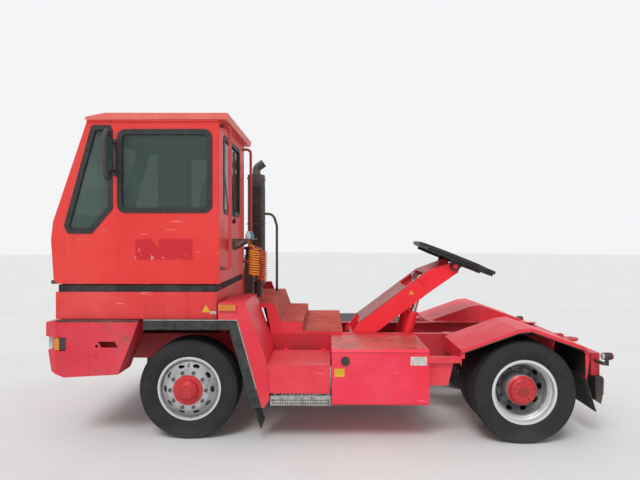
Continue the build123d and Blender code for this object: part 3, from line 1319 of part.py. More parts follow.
for name, x, y, top_z, low_z, radius in coil_table:
    z = bracket_z + bracket_thickness
    heads.append(Pos(coupling_x, y, z + 24) * Cylinder(26, 48))
    heads.append(Pos(coupling_x, y, z + 62) * Cylinder(16, 28))
save("cab_rear_fittings", *grab_rails, wiper, join([bracket] + heads))

hose_radius = 9
hose_stub = 55
for name, x, y, top_z, low_z, radius in coil_table:
    stub_z = bracket_z - hose_stub
    stub = bar((coupling_x, y, bracket_z - seat_gap), (coupling_x, y, stub_z), hose_radius)
    elbow = Pos(coupling_x, y, stub_z) * Sphere(hose_radius)
    hose = bar((coupling_x, y, stub_z), (x, y, top_z - 10), hose_radius)
    coil = bar((x, y, top_z), (x, y, low_z), radius)
    save(name, join([stub, elbow, hose, coil]))
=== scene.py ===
import bpy
import math
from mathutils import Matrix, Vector


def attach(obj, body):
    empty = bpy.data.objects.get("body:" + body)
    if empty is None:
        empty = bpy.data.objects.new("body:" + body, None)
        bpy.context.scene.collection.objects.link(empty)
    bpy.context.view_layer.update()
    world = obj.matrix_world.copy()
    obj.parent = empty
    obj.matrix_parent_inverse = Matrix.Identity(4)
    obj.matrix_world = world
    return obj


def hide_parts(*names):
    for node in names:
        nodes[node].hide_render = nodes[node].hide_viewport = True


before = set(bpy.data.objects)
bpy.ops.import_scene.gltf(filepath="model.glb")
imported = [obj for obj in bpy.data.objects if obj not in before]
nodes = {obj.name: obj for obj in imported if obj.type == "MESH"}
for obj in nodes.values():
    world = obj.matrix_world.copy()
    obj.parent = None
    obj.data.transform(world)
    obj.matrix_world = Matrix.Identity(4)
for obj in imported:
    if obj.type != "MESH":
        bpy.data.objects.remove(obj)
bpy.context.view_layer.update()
print("frame loaded")

bothSides = (("Left", 1), ("Right", -1))
wheelPlace = {"frontX": 1.392, "rearX": -1.719, "axleZ": 0.4685}

# stage and camera
stageLook = {
    "floorColour": (0.74, 0.74, 0.73),
    "floorDark": (0.71, 0.71, 0.70),
    "floorRadius": 60,
    "floorSides": 64,
    "skyColour": (0.90, 0.91, 0.93),
    "skyLight": 0.78,
    "skySeen": 1.0,
    "sunPlace": (2, 6, 9),
    "sunTurn": (-38, 14, 0),
    "sunStrength": 1.5,
    "sunSoftness": 22,
    "cameraPlace": (0.0919, 6.433, 1.9025),
    "cameraAim": (0.01305, -1.0, -0.00653),
    "lens": 31.89,
    "sensor": 36,
}


def deselectAll():
    if bpy.context.object and bpy.context.object.mode != "OBJECT":
        bpy.ops.object.mode_set(mode="OBJECT")
    bpy.ops.object.select_all(action="DESELECT")


def makeFloor(look):
    deselectAll()
    bpy.ops.mesh.primitive_circle_add(vertices=look["floorSides"], radius=look["floorRadius"],
                                      fill_type="NGON", location=(0, 0, 0))
    made = bpy.context.object
    made.name = "paleFloor"
    return made


def makeSun(look):
    bpy.ops.object.light_add(type="SUN", location=look["sunPlace"],
                             rotation=[math.radians(angle) for angle in look["sunTurn"]])
    sun = bpy.context.object
    sun.data.energy = look["sunStrength"]
    sun.data.angle = math.radians(look["sunSoftness"])


def makeSky(look):
    world = bpy.data.worlds.new("paleSky")
    world.use_nodes = True
    tree = world.node_tree
    tree.nodes.clear()
    out = tree.nodes.new("ShaderNodeOutputWorld")
    mix = tree.nodes.new("ShaderNodeMixShader")
    for slot, strength in ((1, look["skyLight"]), (2, look["skySeen"])):
        sky = tree.nodes.new("ShaderNodeBackground")
        sky.inputs["Color"].default_value = (*look["skyColour"], 1)
        sky.inputs["Strength"].default_value = strength
        tree.links.new(sky.outputs[0], mix.inputs[slot])
    path = tree.nodes.new("ShaderNodeLightPath")
    brightRay = path.outputs["Is Camera Ray"]
    for kind in ("Is Glossy Ray", "Is Transmission Ray"):
        larger = tree.nodes.new("ShaderNodeMath")
        larger.operation = "MAXIMUM"
        tree.links.new(brightRay, larger.inputs[0])
        tree.links.new(path.outputs[kind], larger.inputs[1])
        brightRay = larger.outputs[0]
    tree.links.new(brightRay, mix.inputs[0])
    tree.links.new(mix.outputs[0], out.inputs[0])
    bpy.context.scene.world = world


def makeCamera(look):
    bpy.ops.object.camera_add(location=look["cameraPlace"])
    camera = bpy.context.object
    camera.data.sensor_width = look["sensor"]
    camera.data.lens = look["lens"]
    camera.rotation_euler = Vector(look["cameraAim"]).to_track_quat("-Z", "Y").to_euler()
    bpy.context.scene.camera = camera
    bpy.context.scene.view_settings.view_transform = "Standard"


floor = makeFloor(stageLook)
makeSun(stageLook)
makeSky(stageLook)
makeCamera(stageLook)
print("stage and camera")


# shader maths as plain expressions
class Value:
    def __init__(self, finish, socket):
        self.finish = finish
        self.socket = socket

    def maths(self, operation, other, swap=False):
        first, second = (other, self) if swap else (self, other)
        made = self.finish.node("ShaderNodeMath", {"operation": operation}, {0: first, 1: second})
        return Value(self.finish, made.outputs[0])

    def __add__(self, other):
        return self.maths("ADD", other)

    def __radd__(self, other):
        return self.maths("ADD", other, True)

    def __sub__(self, other):
        return self.maths("SUBTRACT", other)

    def __rsub__(self, other):
        return self.maths("SUBTRACT", other, True)

    def __mul__(self, other):
        return self.maths("MULTIPLY", other)

    def __rmul__(self, other):
        return self.maths("MULTIPLY", other, True)

    def smaller(self, other):
        return self.maths("MINIMUM", other)

    def power(self, other):
        return self.maths("POWER", other)

    def wave(self):
        return self.maths("SINE", 0.0)

    def size(self):
        return self.maths("ABSOLUTE", 0.0)


class Finish:
    def __init__(self, name, **sockets):
        self.material = bpy.data.materials.new(name)
        self.material.use_nodes = True
        self.tree = self.material.node_tree
        self.tree.nodes.clear()
        self.out = self.tree.nodes.new("ShaderNodeOutputMaterial")
        self.shader = self.tree.nodes.new("ShaderNodeBsdfPrincipled")
        self.tree.links.new(self.shader.outputs[0], self.out.inputs[0])
        self.place = self.tree.nodes.new("ShaderNodeTexCoord").outputs["Object"]
        parts = self.node("ShaderNodeSeparateXYZ", {}, {0: self.place})
        self.x, self.y, self.z = [Value(self, parts.outputs[index]) for index in range(3)]
        self.feed(**sockets)

    def node(self, kind, settings, inputs):
        made = self.tree.nodes.new(kind)
        for key, value in settings.items():
            setattr(made, key, value)
        for key, value in inputs.items():
            self.join(value, made.inputs[key])
        return made

    def join(self, value, socket):
        if isinstance(value, Value):
            self.tree.links.new(value.socket, socket)
        elif isinstance(value, bpy.types.NodeSocket):
            self.tree.links.new(value, socket)
        elif isinstance(value, tuple) and len(value) == 3 and socket.type == "RGBA":
            socket.default_value = (*value, 1)
        else:
            socket.default_value = value

    def feed(self, **sockets):
        for key, value in sockets.items():
            self.join(value, self.shader.inputs[key.replace("_", " ")])

    def cloud(self, scale, detail=3, rough=0.5, stretch=None, twist=0.0):
        place = self.place
        if stretch:
            place = self.node("ShaderNodeMapping", {}, {"Vector": place, "Scale": Vector(stretch)}).outputs[0]
        made = self.node("ShaderNodeTexNoise", {}, {"Vector": place, "Scale": scale, "Detail": detail,
                                                    "Roughness": rough, "Distortion": twist})
        return Value(self, made.outputs["Fac"])

    def patches(self, spots, stretch=None, twist=0.0):
        scale, detail, rough, low, high = spots
        return self.ramp(self.cloud(scale, detail, rough, stretch, twist), low, high)

    def cells(self, scale):
        made = self.node("ShaderNodeTexVoronoi", {}, {"Vector": self.place, "Scale": scale})
        return Value(self, made.outputs["Distance"])

    def ramp(self, value, low, high):
        made = self.node("ShaderNodeMapRange", {"interpolation_type": "SMOOTHSTEP", "clamp": True},
                         {"Value": value, "From Min": low, "From Max": high})
        return Value(self, made.outputs[0])

    def below(self, value, low, high):
        return 1 - self.ramp(value, low, high)

    def between(self, value, low, high, soft):
        return self.ramp(value, low - soft, low + soft) * self.below(value, high - soft, high + soft)

    def blend(self, mask, first, second):
        made = self.node("ShaderNodeMix", {"data_type": "RGBA"}, {0: mask, 6: first, 7: second})
        return made.outputs[2]

    def bumpy(self, height, depth):
        made = self.node("ShaderNodeBump", {}, {"Height": height, "Strength": 1.0, "Distance": depth})
        self.tree.links.new(made.outputs[0], self.shader.inputs["Normal"])

    def fromAxle(self, x):
        return ((self.x - x).power(2) + (self.z - wheelPlace["axleZ"]).power(2)).power(0.5)


def paintNode(material, *names):
    for name in names:
        piece = nodes[name]
        piece.data.materials.clear()
        piece.data.materials.append(material)


# red paint in its several states
paintLook = {
    # base colour, faded colour, grime, streaks, rust, height up to which grime lies
    "cab": ((0.74, 0.022, 0.018), (0.78, 0.046, 0.036), 0.35, 0.30, 0.15, 1.60),
    "skirt": ((0.70, 0.028, 0.028), (0.75, 0.065, 0.060), 0.60, 0.55, 0.35, 1.30),
    "bumper": ((0.64, 0.016, 0.036), (0.72, 0.055, 0.080), 0.62, 0.40, 0.95, 0.95),
    "tank": ((0.84, 0.016, 0.052), (0.86, 0.050, 0.095), 0.30, 0.25, 0.35, 0.55),
    "guard": ((0.72, 0.020, 0.040), (0.76, 0.060, 0.082), 0.45, 0.35, 0.50, 0.85),
    "boom": ((0.88, 0.008, 0.022), (0.88, 0.028, 0.045), 0.30, 0.15, 0.25, 0.95),
    "frame": ((0.62, 0.018, 0.034), (0.48, 0.030, 0.038), 0.80, 0.50, 0.55, 0.80),
}
# spots are noise scale, detail and roughness, then where the mask starts and ends
weatherLook = {
    "fadeSpots": (1.3, 5, 0.6, 0.35, 0.70),
    "fadeStep": 0.11,
    "streakSpots": (9.0, 4, 0.6, 0.56, 0.80),
    "streakStretch": (1.0, 1.0, 0.07),
    "streakColour": (0.20, 0.030, 0.025),
    "grimeSpots": (6.5, 6, 0.65, 0.46, 0.78),
    "grimeEdge": 0.30,
    "grimeLow": 0.55,
    "grimeAll": 0.10,
    "grimeMost": 0.85,
    "grimeColour": (0.13, 0.050, 0.040),
    "chipSpots": (19.0, 6, 0.72, 0.705, 0.745),
    "chipShift": 0.06,
    "chipTwist": 0.5,
    "chipColour": (0.085, 0.030, 0.018),
    "scratchSpots": (30.0, 2, 0.5, 0.735, 0.76),
    "scratchStretch": (0.10, 0.10, 1.0),
    "scratchShare": 0.5,
    "scratchColour": (0.83, 0.30, 0.26),
    "coat": 0.05,
    "rough": 0.36,
    "roughSpread": 0.22,
    "grimeRough": 0.35,
    "chipRough": 0.3,
    "grainScale": 60.0,
    "grain": 0.25,
    "chipSink": -0.6,
    "bumpDepth": 0.0012,
}


def redPaint(name, kind, seed):
    look = weatherLook
    base, faded, grime, streak, rust, grimeTop = paintLook[kind]
    f = Finish(name, Coat_Weight=look["coat"])
    fadeScale, *fadeRest = look["fadeSpots"]
    colour = f.blend(f.patches((fadeScale + seed * look["fadeStep"], *fadeRest)), base, faded)
    streaks = f.patches(look["streakSpots"], look["streakStretch"]) * streak
    colour = f.blend(streaks, colour, look["streakColour"])
    edge = look["grimeEdge"]
    low = f.below(f.z + f.cloud(3.0) * edge, grimeTop - edge, grimeTop + edge)
    dirt = (low * look["grimeLow"] + look["grimeAll"]) * f.patches(look["grimeSpots"]) * grime
    colour = f.blend(dirt.smaller(look["grimeMost"]), colour, look["grimeColour"])
    scale, detail, fine, start, end = look["chipSpots"]
    shift = rust * look["chipShift"]
    chips = f.patches((scale, detail, fine, start - shift, end - shift), twist=look["chipTwist"])
    colour = f.blend(chips * rust, colour, look["chipColour"])
    scratch = f.patches(look["scratchSpots"], look["scratchStretch"]) * look["scratchShare"]
    colour = f.blend(scratch, colour, look["scratchColour"])
    rough = look["rough"] + f.cloud(5.0, 4) * look["roughSpread"]
    rough = rough + dirt * look["grimeRough"] + chips * look["chipRough"]
    f.feed(Base_Color=colour, Roughness=rough)
    f.bumpy(f.cloud(look["grainScale"]) * look["grain"] + chips * look["chipSink"], look["bumpDepth"])
    return f, colour


antiSlipLook = {
    "colours": ((0.46, 0.058, 0.040), (0.60, 0.105, 0.070)),
    "fadeSpots": (3.2, 5, 0.6, 0.40, 0.66),
    "dirtSpots": (7.0, 6, 0.7, 0.50, 0.72),
    "dirtColour": (0.16, 0.060, 0.045),
    "gritScale": 230.0,
    "gritEdge": (0.25, 0.05),
    "gritShare": 0.35,
    "gritColour": (0.70, 0.24, 0.20),
    "bareSpots": (2.6, 7, 0.7, 0.66, 0.70),
    "bareColour": (0.30, 0.24, 0.21),
    "rough": 0.82,
    "bumpScale": 170.0,
    "bumpDepth": 0.0022,
}


def antiSlip(name, worn):
    look = antiSlipLook
    f = Finish(name, Roughness=look["rough"])
    colour = f.blend(f.patches(look["fadeSpots"]), *look["colours"])
    colour = f.blend(f.patches(look["dirtSpots"]) * worn, colour, look["dirtColour"])
    grit = f.ramp(f.cells(look["gritScale"]), *look["gritEdge"]) * look["gritShare"]
    colour = f.blend(grit, colour, look["gritColour"])
    colour = f.blend(f.patches(look["bareSpots"]) * worn, colour, look["bareColour"])
    f.feed(Base_Color=colour)
    f.bumpy(1 - f.cells(look["bumpScale"]), look["bumpDepth"])
    return f.material


# plain finishes: colour, darker colour, noise scale, roughness, metallic, bump depth, coat
plainLook = {
    "sealRubber": ((0.013, 0.014, 0.015), (0.030, 0.031, 0.031), 14.0, 0.62),
    # a near-black band standing for the shade in a gap
    "gapShadeBand": ((0.014, 0.013, 0.013), (0.050, 0.042, 0.038), 6.0, 0.85),
    "blackMetal": ((0.030, 0.030, 0.031), (0.085, 0.070, 0.058), 8.0, 0.60, 0.2),
    "engineGrey": ((0.11, 0.11, 0.11), (0.045, 0.040, 0.036), 7.0, 0.65, 0.3),
    "blackPlastic": ((0.028, 0.029, 0.030), (0.050, 0.050, 0.050), 20.0, 0.55),
    "stackSteel": ((0.070, 0.070, 0.072), (0.150, 0.125, 0.105), 6.0, 0.60, 0.4),
    "galvanised": ((0.50, 0.50, 0.49), (0.22, 0.20, 0.18), 22.0, 0.45, 0.75),
    "hardChrome": ((0.62, 0.62, 0.63), (0.45, 0.44, 0.43), 10.0, 0.20, 0.9, 0.0002),
    "greasyBlack": ((0.008, 0.008, 0.008), (0.034, 0.030, 0.027), 9.0, 0.55, 0.0, 0.004, 0.06),
    "seatCloth": ((0.030, 0.032, 0.042), (0.055, 0.055, 0.062), 40.0, 0.92),
    "seatClothWoven": ((0.030, 0.032, 0.042), (0.055, 0.055, 0.062), 40.0, 0.92),
    "floorFinish": (stageLook["floorColour"], stageLook["floorDark"], 0.8, 0.85, 0.0, 0.0002),
    "hubRed": ((0.42, 0.018, 0.022), (0.20, 0.035, 0.028), 26.0, 0.50),
    "softPlastic": ((0.022, 0.022, 0.023), (0.045, 0.044, 0.043), 18.0, 0.55),
    "stepSteel": ((0.46, 0.45, 0.44), (0.20, 0.18, 0.16), 24.0, 0.45, 0.7),
    "holeShadeAndSwitchDark": ((0.045, 0.042, 0.040), (0.10, 0.09, 0.08), 30.0, 0.8),
    # pale strips standing for the highlight on bent sheet edges
    "bentEdgeHighlight": ((0.42, 0.43, 0.40), (0.20, 0.20, 0.19), 12.0, 0.7),
    "guardBeadShade": ((0.075, 0.022, 0.022), (0.028, 0.024, 0.023), 9.0, 0.75),
    # near-black sheets under the rear mudguards: painted shade
    "guardLining": ((0.010, 0.009, 0.009), (0.030, 0.024, 0.021), 7.0, 0.9),
    "blankYellow": ((0.72, 0.42, 0.010), (0.55, 0.33, 0.02), 20.0, 0.5),
    "blankWhite": ((0.62, 0.60, 0.56), (0.40, 0.36, 0.32), 24.0, 0.55),
    # near-black discs: painted shade in the heat shield's holes
    "shieldHoleShade": ((0.012, 0.011, 0.010), (0.03, 0.026, 0.022), 30.0, 0.9),
}


def plainFinish(name, colour, dark, scale, rough, metallic=0.0, depth=0.0008, coat=0.0):
    f = Finish(name, Metallic=metallic, Coat_Weight=coat)
    mixed = f.blend(f.patches((scale, 6, 0.65, 0.38, 0.72)), colour, dark)
    f.feed(Base_Color=mixed, Roughness=rough + (f.cloud(scale * 2.3, 4) - 0.5) * 0.25)
    f.bumpy(f.cloud(scale * 9, 4), depth)
    return f.material


plain = {name: plainFinish(name, *look) for name, look in plainLook.items()}
print("plain finishes made")

tyreLook = {
    "wall": (0.010, 0.010, 0.011),
    "dust": (0.034, 0.032, 0.030),
    "dustSpots": (5.0, 6, 0.65, 0.35, 0.75),
    "dustShare": 0.75,
    "tread": (0.008, 0.008, 0.008),
    "treadFrom": (0.446, 0.456),
    "treadShare": 0.7,
    "lowerTone": (0.070, 0.066, 0.060),
    "lowerToneZ": (0.02, 0.16),
    "lowerToneShare": 0.5,
    "grooveShade": (0.004, 0.004, 0.004),
    "grooveCount": 58,
    "grooveWave": (0.72, 0.90),
    "grooveFrom": (0.4575, 0.4600),
    "grooveSink": -2.2,
    "markRing": (0.345, 0.398),
    "markCount": 9,
    "markWave": (0.30, 0.34),
    "markCells": 70.0,
    "markRise": 0.8,
    "rough": 0.78,
    "dustRough": 0.12,
    "grainScale": 140.0,
    "grain": 0.3,
    "bumpDepth": 0.0014,
}


def tyreFinish(name, x):
    look = tyreLook
    f = Finish(name)
    dust = f.patches(look["dustSpots"])
    colour = f.blend(dust * look["dustShare"], look["wall"], look["dust"])
    away = f.fromAxle(x)
    colour = f.blend(f.ramp(away, *look["treadFrom"]) * look["treadShare"], colour, look["tread"])
    # the tyre is lighter towards the bottom
    colour = f.blend(f.below(f.z, *look["lowerToneZ"]) * look["lowerToneShare"], colour, look["lowerTone"])
    angle = (f.z - wheelPlace["axleZ"]).maths("ARCTAN2", f.x - x)
    grooves = f.ramp((angle * look["grooveCount"]).wave(), *look["grooveWave"])
    grooves = grooves * f.ramp(away, *look["grooveFrom"])
    # darker grooves: painted shade in the tread's grooves
    colour = f.blend(grooves, colour, look["grooveShade"])
    f.feed(Base_Color=colour, Roughness=look["rough"] + dust * look["dustRough"])
    marks = f.ramp((angle * look["markCount"]).wave(), *look["markWave"])
    marks = marks * f.between(away, *look["markRing"], 0.002) * f.cells(look["markCells"])
    height = f.cloud(look["grainScale"]) * look["grain"] + grooves * look["grooveSink"]
    f.bumpy(height + marks * look["markRise"], look["bumpDepth"])
    return f.material


frontTyreFinish = tyreFinish("tyreRubberFront", wheelPlace["frontX"])
rearTyreFinish = tyreFinish("tyreRubberRear", wheelPlace["rearX"])

# radii are from the axle, and the other pairs are distances out from the middle of the tractor
wheelLook = {
    "silver": (0.48, 0.485, 0.495),
    "dust": (0.20, 0.19, 0.18),
    "dustSpots": (11.0, 6, 0.65, 0.42, 0.74),
    "dustShare": 0.70,
    "rim": (0.66, 0.67, 0.68),
    "nutRing": (0.146, 0.190),
    "nut": (0.070, 0.062, 0.056),
    "nutShare": 0.95,
    "red": ((0.60, 0.035, 0.040), (0.33, 0.050, 0.040)),
    "redSpots": (16.0, 5, 0.7, 0.45, 0.70),
    "redShare": 0.55,
    "drumEdge": (0.230, 0.234),
    "drum": (0.055, 0.045, 0.042),
    "dishShade": (0.16, 0.155, 0.155),
    "deepShare": 0.72,
    "metal": 0.25,
    "rough": 0.42,
    "dustRough": 0.25,
    "grainScale": 90.0,
    "grain": 0.5,
    "bumpDepth": 0.0007,
    "front": {
        "hubEdge": (0.1392, 0.1412),
        "face": (1.1685, 1.1695),
        "nutFace": (1.1690, 1.1700),
        "rimEdge": (0.283, 0.288),
        "drumFace": (1.03, 1.035),
    },
    "rear": {
        "hubEdge": (0.1365, 0.1405),
        "face": (1.00, 1.01),
        "nutFace": (0.9480, 0.9490),
        "rimEdge": (0.262, 0.268),
        "rimFace": (1.02, 1.06),
        "deepFace": (0.955, 1.02),
        "drumFace": (0.90, 0.905),
    },
}


def wheelFinish(name, x, side, place):
    look = wheelLook
    spot = look[place]
    f = Finish(name, Metallic=look["metal"])
    away = f.fromAxle(x)
    out = f.y * side
    dust = f.patches(look["dustSpots"])
    colour = f.blend(dust * look["dustShare"], look["silver"], look["dust"])
    rimEdge = f.ramp(away, *spot["rimEdge"])
    if place == "rear":
        # the rear wheel's deep dish is darkened: painted shade
        colour = f.blend(f.below(out, *spot["deepFace"]) * look["deepShare"], colour, look["dishShade"])
        rimEdge = rimEdge * f.ramp(out, *spot["rimFace"])
    colour = f.blend(rimEdge, colour, look["rim"])
    nuts = f.between(away, *look["nutRing"], 0.002) * f.ramp(out, *spot["nutFace"])
    colour = f.blend(nuts * look["nutShare"], colour, look["nut"])
    red = f.blend(f.patches(look["redSpots"]) * look["redShare"], *look["red"])
    hub = f.below(away, *spot["hubEdge"]) * f.ramp(out, *spot["face"])
    colour = f.blend(hub, colour, red)
    drum = f.below(out, *spot["drumFace"]) * f.below(away, *look["drumEdge"])
    colour = f.blend(drum, colour, look["drum"])
    f.feed(Base_Color=colour, Roughness=look["rough"] + dust * look["dustRough"])
    f.bumpy(f.cloud(look["grainScale"], 4) * look["grain"], look["bumpDepth"])
    return f.material


ribbedLook = {
    "rubber": (0.020, 0.022, 0.022),
    "dust": (0.062, 0.064, 0.062),
    "dustSpots": (8.0, 6, 0.7, 0.38, 0.72),
    "dustShare": 0.7,
    "ridge": (0.13, 0.135, 0.13),
    "ridgeWave": (0.2, 0.9),
    "ridgeSpots": (26.0, 3, 0.5, 0.40, 0.60),
    "ridgeShare": 0.45,
    "pitch": 0.0115,
    "slant": 0.28,
    "bumpDepth": 0.0022,
}


def ribbedRubber(name):
    look = ribbedLook
    f = Finish(name, Roughness=0.72)
    ribs = ((f.x + f.z * look["slant"]) * (2 * math.pi / look["pitch"])).wave()
    colour = f.blend(f.patches(look["dustSpots"]) * look["dustShare"], look["rubber"], look["dust"])
    ridge = f.ramp(ribs, *look["ridgeWave"]) * f.patches(look["ridgeSpots"]) * look["ridgeShare"]
    f.feed(Base_Color=f.blend(ridge, colour, look["ridge"]))
    f.bumpy(ribs * 0.5, look["bumpDepth"])
    return f.material


glassLook = {
    "greens": ((0.045, 0.085, 0.070), (0.080, 0.135, 0.112)),
    "greenSpots": (1.4, 2, 0.5, 0.4, 0.7),
    "smearSpots": (5.0, 6, 0.7, 0.50, 0.80),
    "alpha": 0.60,
    "smearAlpha": 0.12,
    "rough": 0.05,
    "smearRough": 0.10,
}


def glassFinish(name):
    look = glassLook
    f = Finish(name, IOR=1.45)
    f.feed(Base_Color=f.blend(f.patches(look["greenSpots"]), *look["greens"]))
    smear = f.patches(look["smearSpots"])
    f.feed(Alpha=look["alpha"] + smear * look["smearAlpha"])
    f.feed(Roughness=look["rough"] + smear * look["smearRough"])
    return f.material


lensLook = {
    "pitch": 0.012,
    "shade": 0.55,
    "ribWave": (-0.4, 1.0),
    "ribShare": 0.7,
    "cloudShare": 0.2,
    "amber": (0.80, 0.24, 0.012),
    "clear": (0.70, 0.71, 0.69),
    "red": (0.55, 0.012, 0.012),
    "housing": (0.014, 0.014, 0.015),
    "housingX": (2.40, 2.566),
    "bumpDepth": 0.0012,
}


def lensFinish(name, colour, housing=None):
    look = lensLook
    f = Finish(name, Roughness=0.16, Coat_Weight=0.5)
    turns = 2 * math.pi / look["pitch"]
    ribs = (f.y * turns).wave() + (f.x * turns).wave()
    dark = tuple(part * look["shade"] for part in colour)
    shade = f.ramp(ribs, *look["ribWave"]) * look["ribShare"] + f.cloud(30.0) * look["cloudShare"]
    shown = f.blend(shade, colour, dark)
    if housing:
        shown = f.blend(f.between(f.x, *housing, 0.001), shown, look["housing"])
    f.feed(Base_Color=shown)
    f.bumpy(ribs, look["bumpDepth"])
    return f.material


# cab side with its worn red patch, a scar across it and the panel's seam
cabMarks = {
    "sideY": (1.195, 1.199),
    "patchX": (1.338, 1.873),
    "patchZ": (1.684, 1.880),
    "patchSoft": 0.012,
    "patchColour": (0.56, 0.002, 0.012),
    "patchSpots": (7.0, 6, 0.7, 0.40, 0.43),
    "scarColour": (0.80, 0.30, 0.29),
    "scarSpots": (12.0, 5, 0.7, 0.60, 0.63),
    "scarStretch": (1.0, 1.0, 0.4),
    "scarShare": 0.8,
    "seamX": (2.0935, 2.0975),
    "seamSoft": 0.0012,
    "seamShare": 0.8,
    "seamZ": (2.10, 2.12),
    "seamColour": (0.10, 0.012, 0.010),
}


def makeCabPaint(look):
    f, colour = redPaint("paintCab", "cab", 1)
    soft = look["patchSoft"]
    patch = f.between(f.x, *look["patchX"], soft) * f.between(f.z, *look["patchZ"], soft)
    patch = patch * f.ramp(f.y, *look["sideY"])
    colour = f.blend(patch * f.patches(look["patchSpots"]), colour, look["patchColour"])
    scar = patch * f.patches(look["scarSpots"], look["scarStretch"])
    colour = f.blend(scar * look["scarShare"], colour, look["scarColour"])
    seam = f.between(f.x, *look["seamX"], look["seamSoft"]) * f.ramp(f.z, *look["seamZ"])
    f.feed(Base_Color=f.blend(seam * look["seamShare"], colour, look["seamColour"]))
    return f.material


roofLook = {"colours": ((0.78, 0.16, 0.12), (0.70, 0.11, 0.08)), "spots": (4.0, 4, 0.5, 0.3, 0.7)}


def makeRoofPaint(look):
    f = redPaint("paintRoof", "skirt", 7)[0]
    f.feed(Base_Color=f.blend(f.patches(look["spots"]), *look["colours"]))
    return f.material


# painted shade of the gap under the skirt along the bumper's top edge, and a brown smear beside the recess
bumperMarks = {
    "gapShadeZ": (1.116, 1.124),
    "gapShadeX": (1.80, 2.60),
    "gapShadeEdge": (11.0, 0.018),
    "gapShadeShare": 0.9,
    "gapShadeColour": (0.035, 0.024, 0.022),
    "smearSlant": 0.46,
    "smearX": (1.46, 1.66),
    "smearSoft": 0.05,
    "smearSpots": (8.0, 6, 0.7, 0.46, 0.62),
    "smearShare": 0.6,
    "smearColour": (0.22, 0.085, 0.055),
}


def makeBumperPaint(look):
    f, colour = redPaint("paintBumper", "bumper", 3)
    scale, ragged = look["gapShadeEdge"]
    # painted shade: the bumper's top band is darkened where the gap under the skirt lies
    gapShade = f.ramp(f.z + f.cloud(scale, 4) * ragged, *look["gapShadeZ"]) * f.between(f.x, *look["gapShadeX"], 0.010)
    colour = f.blend(gapShade * look["gapShadeShare"], colour, look["gapShadeColour"])
    smear = f.between(f.x - f.z * look["smearSlant"], *look["smearX"], look["smearSoft"])
    smear = smear * f.patches(look["smearSpots"]) * look["smearShare"]
    f.feed(Base_Color=f.blend(smear, colour, look["smearColour"]))
    return f.material


# painted shade: the walls inside the rear and the front wheel arches are darkened
guardMarks = {
    "innerY": (0.4970, 0.4990),
    "innerX": (-1.10, -1.09),
    "innerShadeColour": (0.014, 0.012, 0.012),
    "archX": (0.930, 1.800),
    "archY": (1.234, 1.236),
    "archZ": (1.118, 1.120),
    "archShadeColour": (0.020, 0.017, 0.017),
}


def makeGuardPaint(look):
    f, colour = redPaint("paintGuard", "guard", 5)
    # near-black inside the arches and under the fenders: painted shade
    inner = f.between(f.y.size(), *look["innerY"], 0.0004) * f.below(f.x, *look["innerX"])
    colour = f.blend(inner, colour, look["innerShadeColour"])
    arch = f.between(f.x, *look["archX"], 0.002) * f.below(f.y.size(), *look["archY"])
    arch = arch * f.below(f.z, *look["archZ"])
    f.feed(Base_Color=f.blend(arch, colour, look["archShadeColour"]))
    return f.material


# the tank's rusty top plate and black cap
tankMarks = {
    "topZ": (0.8615, 0.8625),
    "topY": (0.46, 1.215),
    "topColours": ((0.62, 0.068, 0.050), (0.34, 0.055, 0.042)),
    "topSpots": (6.0, 6, 0.7, 0.42, 0.66),
    "capY": (1.2505, 1.2515),
    "capColour": (0.030, 0.030, 0.032),
}


def makeTankPaint(look):
    f, colour = redPaint("paintTank", "tank", 4)
    top = f.ramp(f.z, *look["topZ"]) * f.between(f.y, *look["topY"], 0.003)
    colour = f.blend(top, colour, f.blend(f.patches(look["topSpots"]), *look["topColours"]))
    f.feed(Base_Color=f.blend(f.ramp(f.y, *look["capY"]), colour, look["capColour"]))
    return f.material


hoodMarks = {"grilleX": (2.6005, 2.6015), "grilleY": (-1.13, -0.49), "grilleZ": (1.178, 1.432),
             "grilleColour": (0.035, 0.033, 0.033)}


def makeSkirtPaint(look):
    f, colour = redPaint("paintSkirt", "skirt", 2)
    grille = f.ramp(f.x, *look["grilleX"]) * f.between(f.y, *look["grilleY"], 0.002)
    grille = grille * f.between(f.z, *look["grilleZ"], 0.002)
    f.feed(Base_Color=f.blend(grille, colour, look["grilleColour"]))
    return f.material


# the boom leans by boomTurn, and above its sheet's height the top is rusty
boomTurn = math.radians(37)
boomMarks = {"topFrom": (0.6275, 0.6290), "topColours": ((0.34, 0.042, 0.032), (0.19, 0.036, 0.028)),
             "topSpots": (6.0, 6, 0.7, 0.42, 0.66)}


def makeBoomPaint(look):
    f, colour = redPaint("paintBoom", "boom", 6)
    top = f.ramp(f.z * math.cos(boomTurn) + f.x * math.sin(boomTurn), *look["topFrom"])
    f.feed(Base_Color=f.blend(top, colour, f.blend(f.patches(look["topSpots"]), *look["topColours"])))
    return f.material


# the bracket, rails, wiper and couplings on the cab's rear wall
fittingMarks = {
    "reds": ((0.62, 0.035, 0.040), (0.46, 0.060, 0.050)),
    "redSpots": (8.0, 5, 0.6, 0.4, 0.7),
    "railX": (0.98, 1.06),
    "railFromY": 0.36,
    "railOut": (0.68, 0.69),
    "bracketColours": ((0.20, 0.17, 0.15), (0.075, 0.060, 0.052)),
    "bracketSpots": (20.0, 5, 0.6, 0.4, 0.6),
    "wiperY": (0.36, 0.68),
    "wiperZ": (1.99, 2.0),
    "wiperColour": (0.025, 0.025, 0.026),
    "couplingZ": (1.879, 1.8795),
    "couplingX": (0.86, 0.95),
    "couplingSplitY": (0.565, 0.570),
    "couplingColours": ((0.13, 0.32, 0.48), (0.66, 0.68, 0.68)),
}


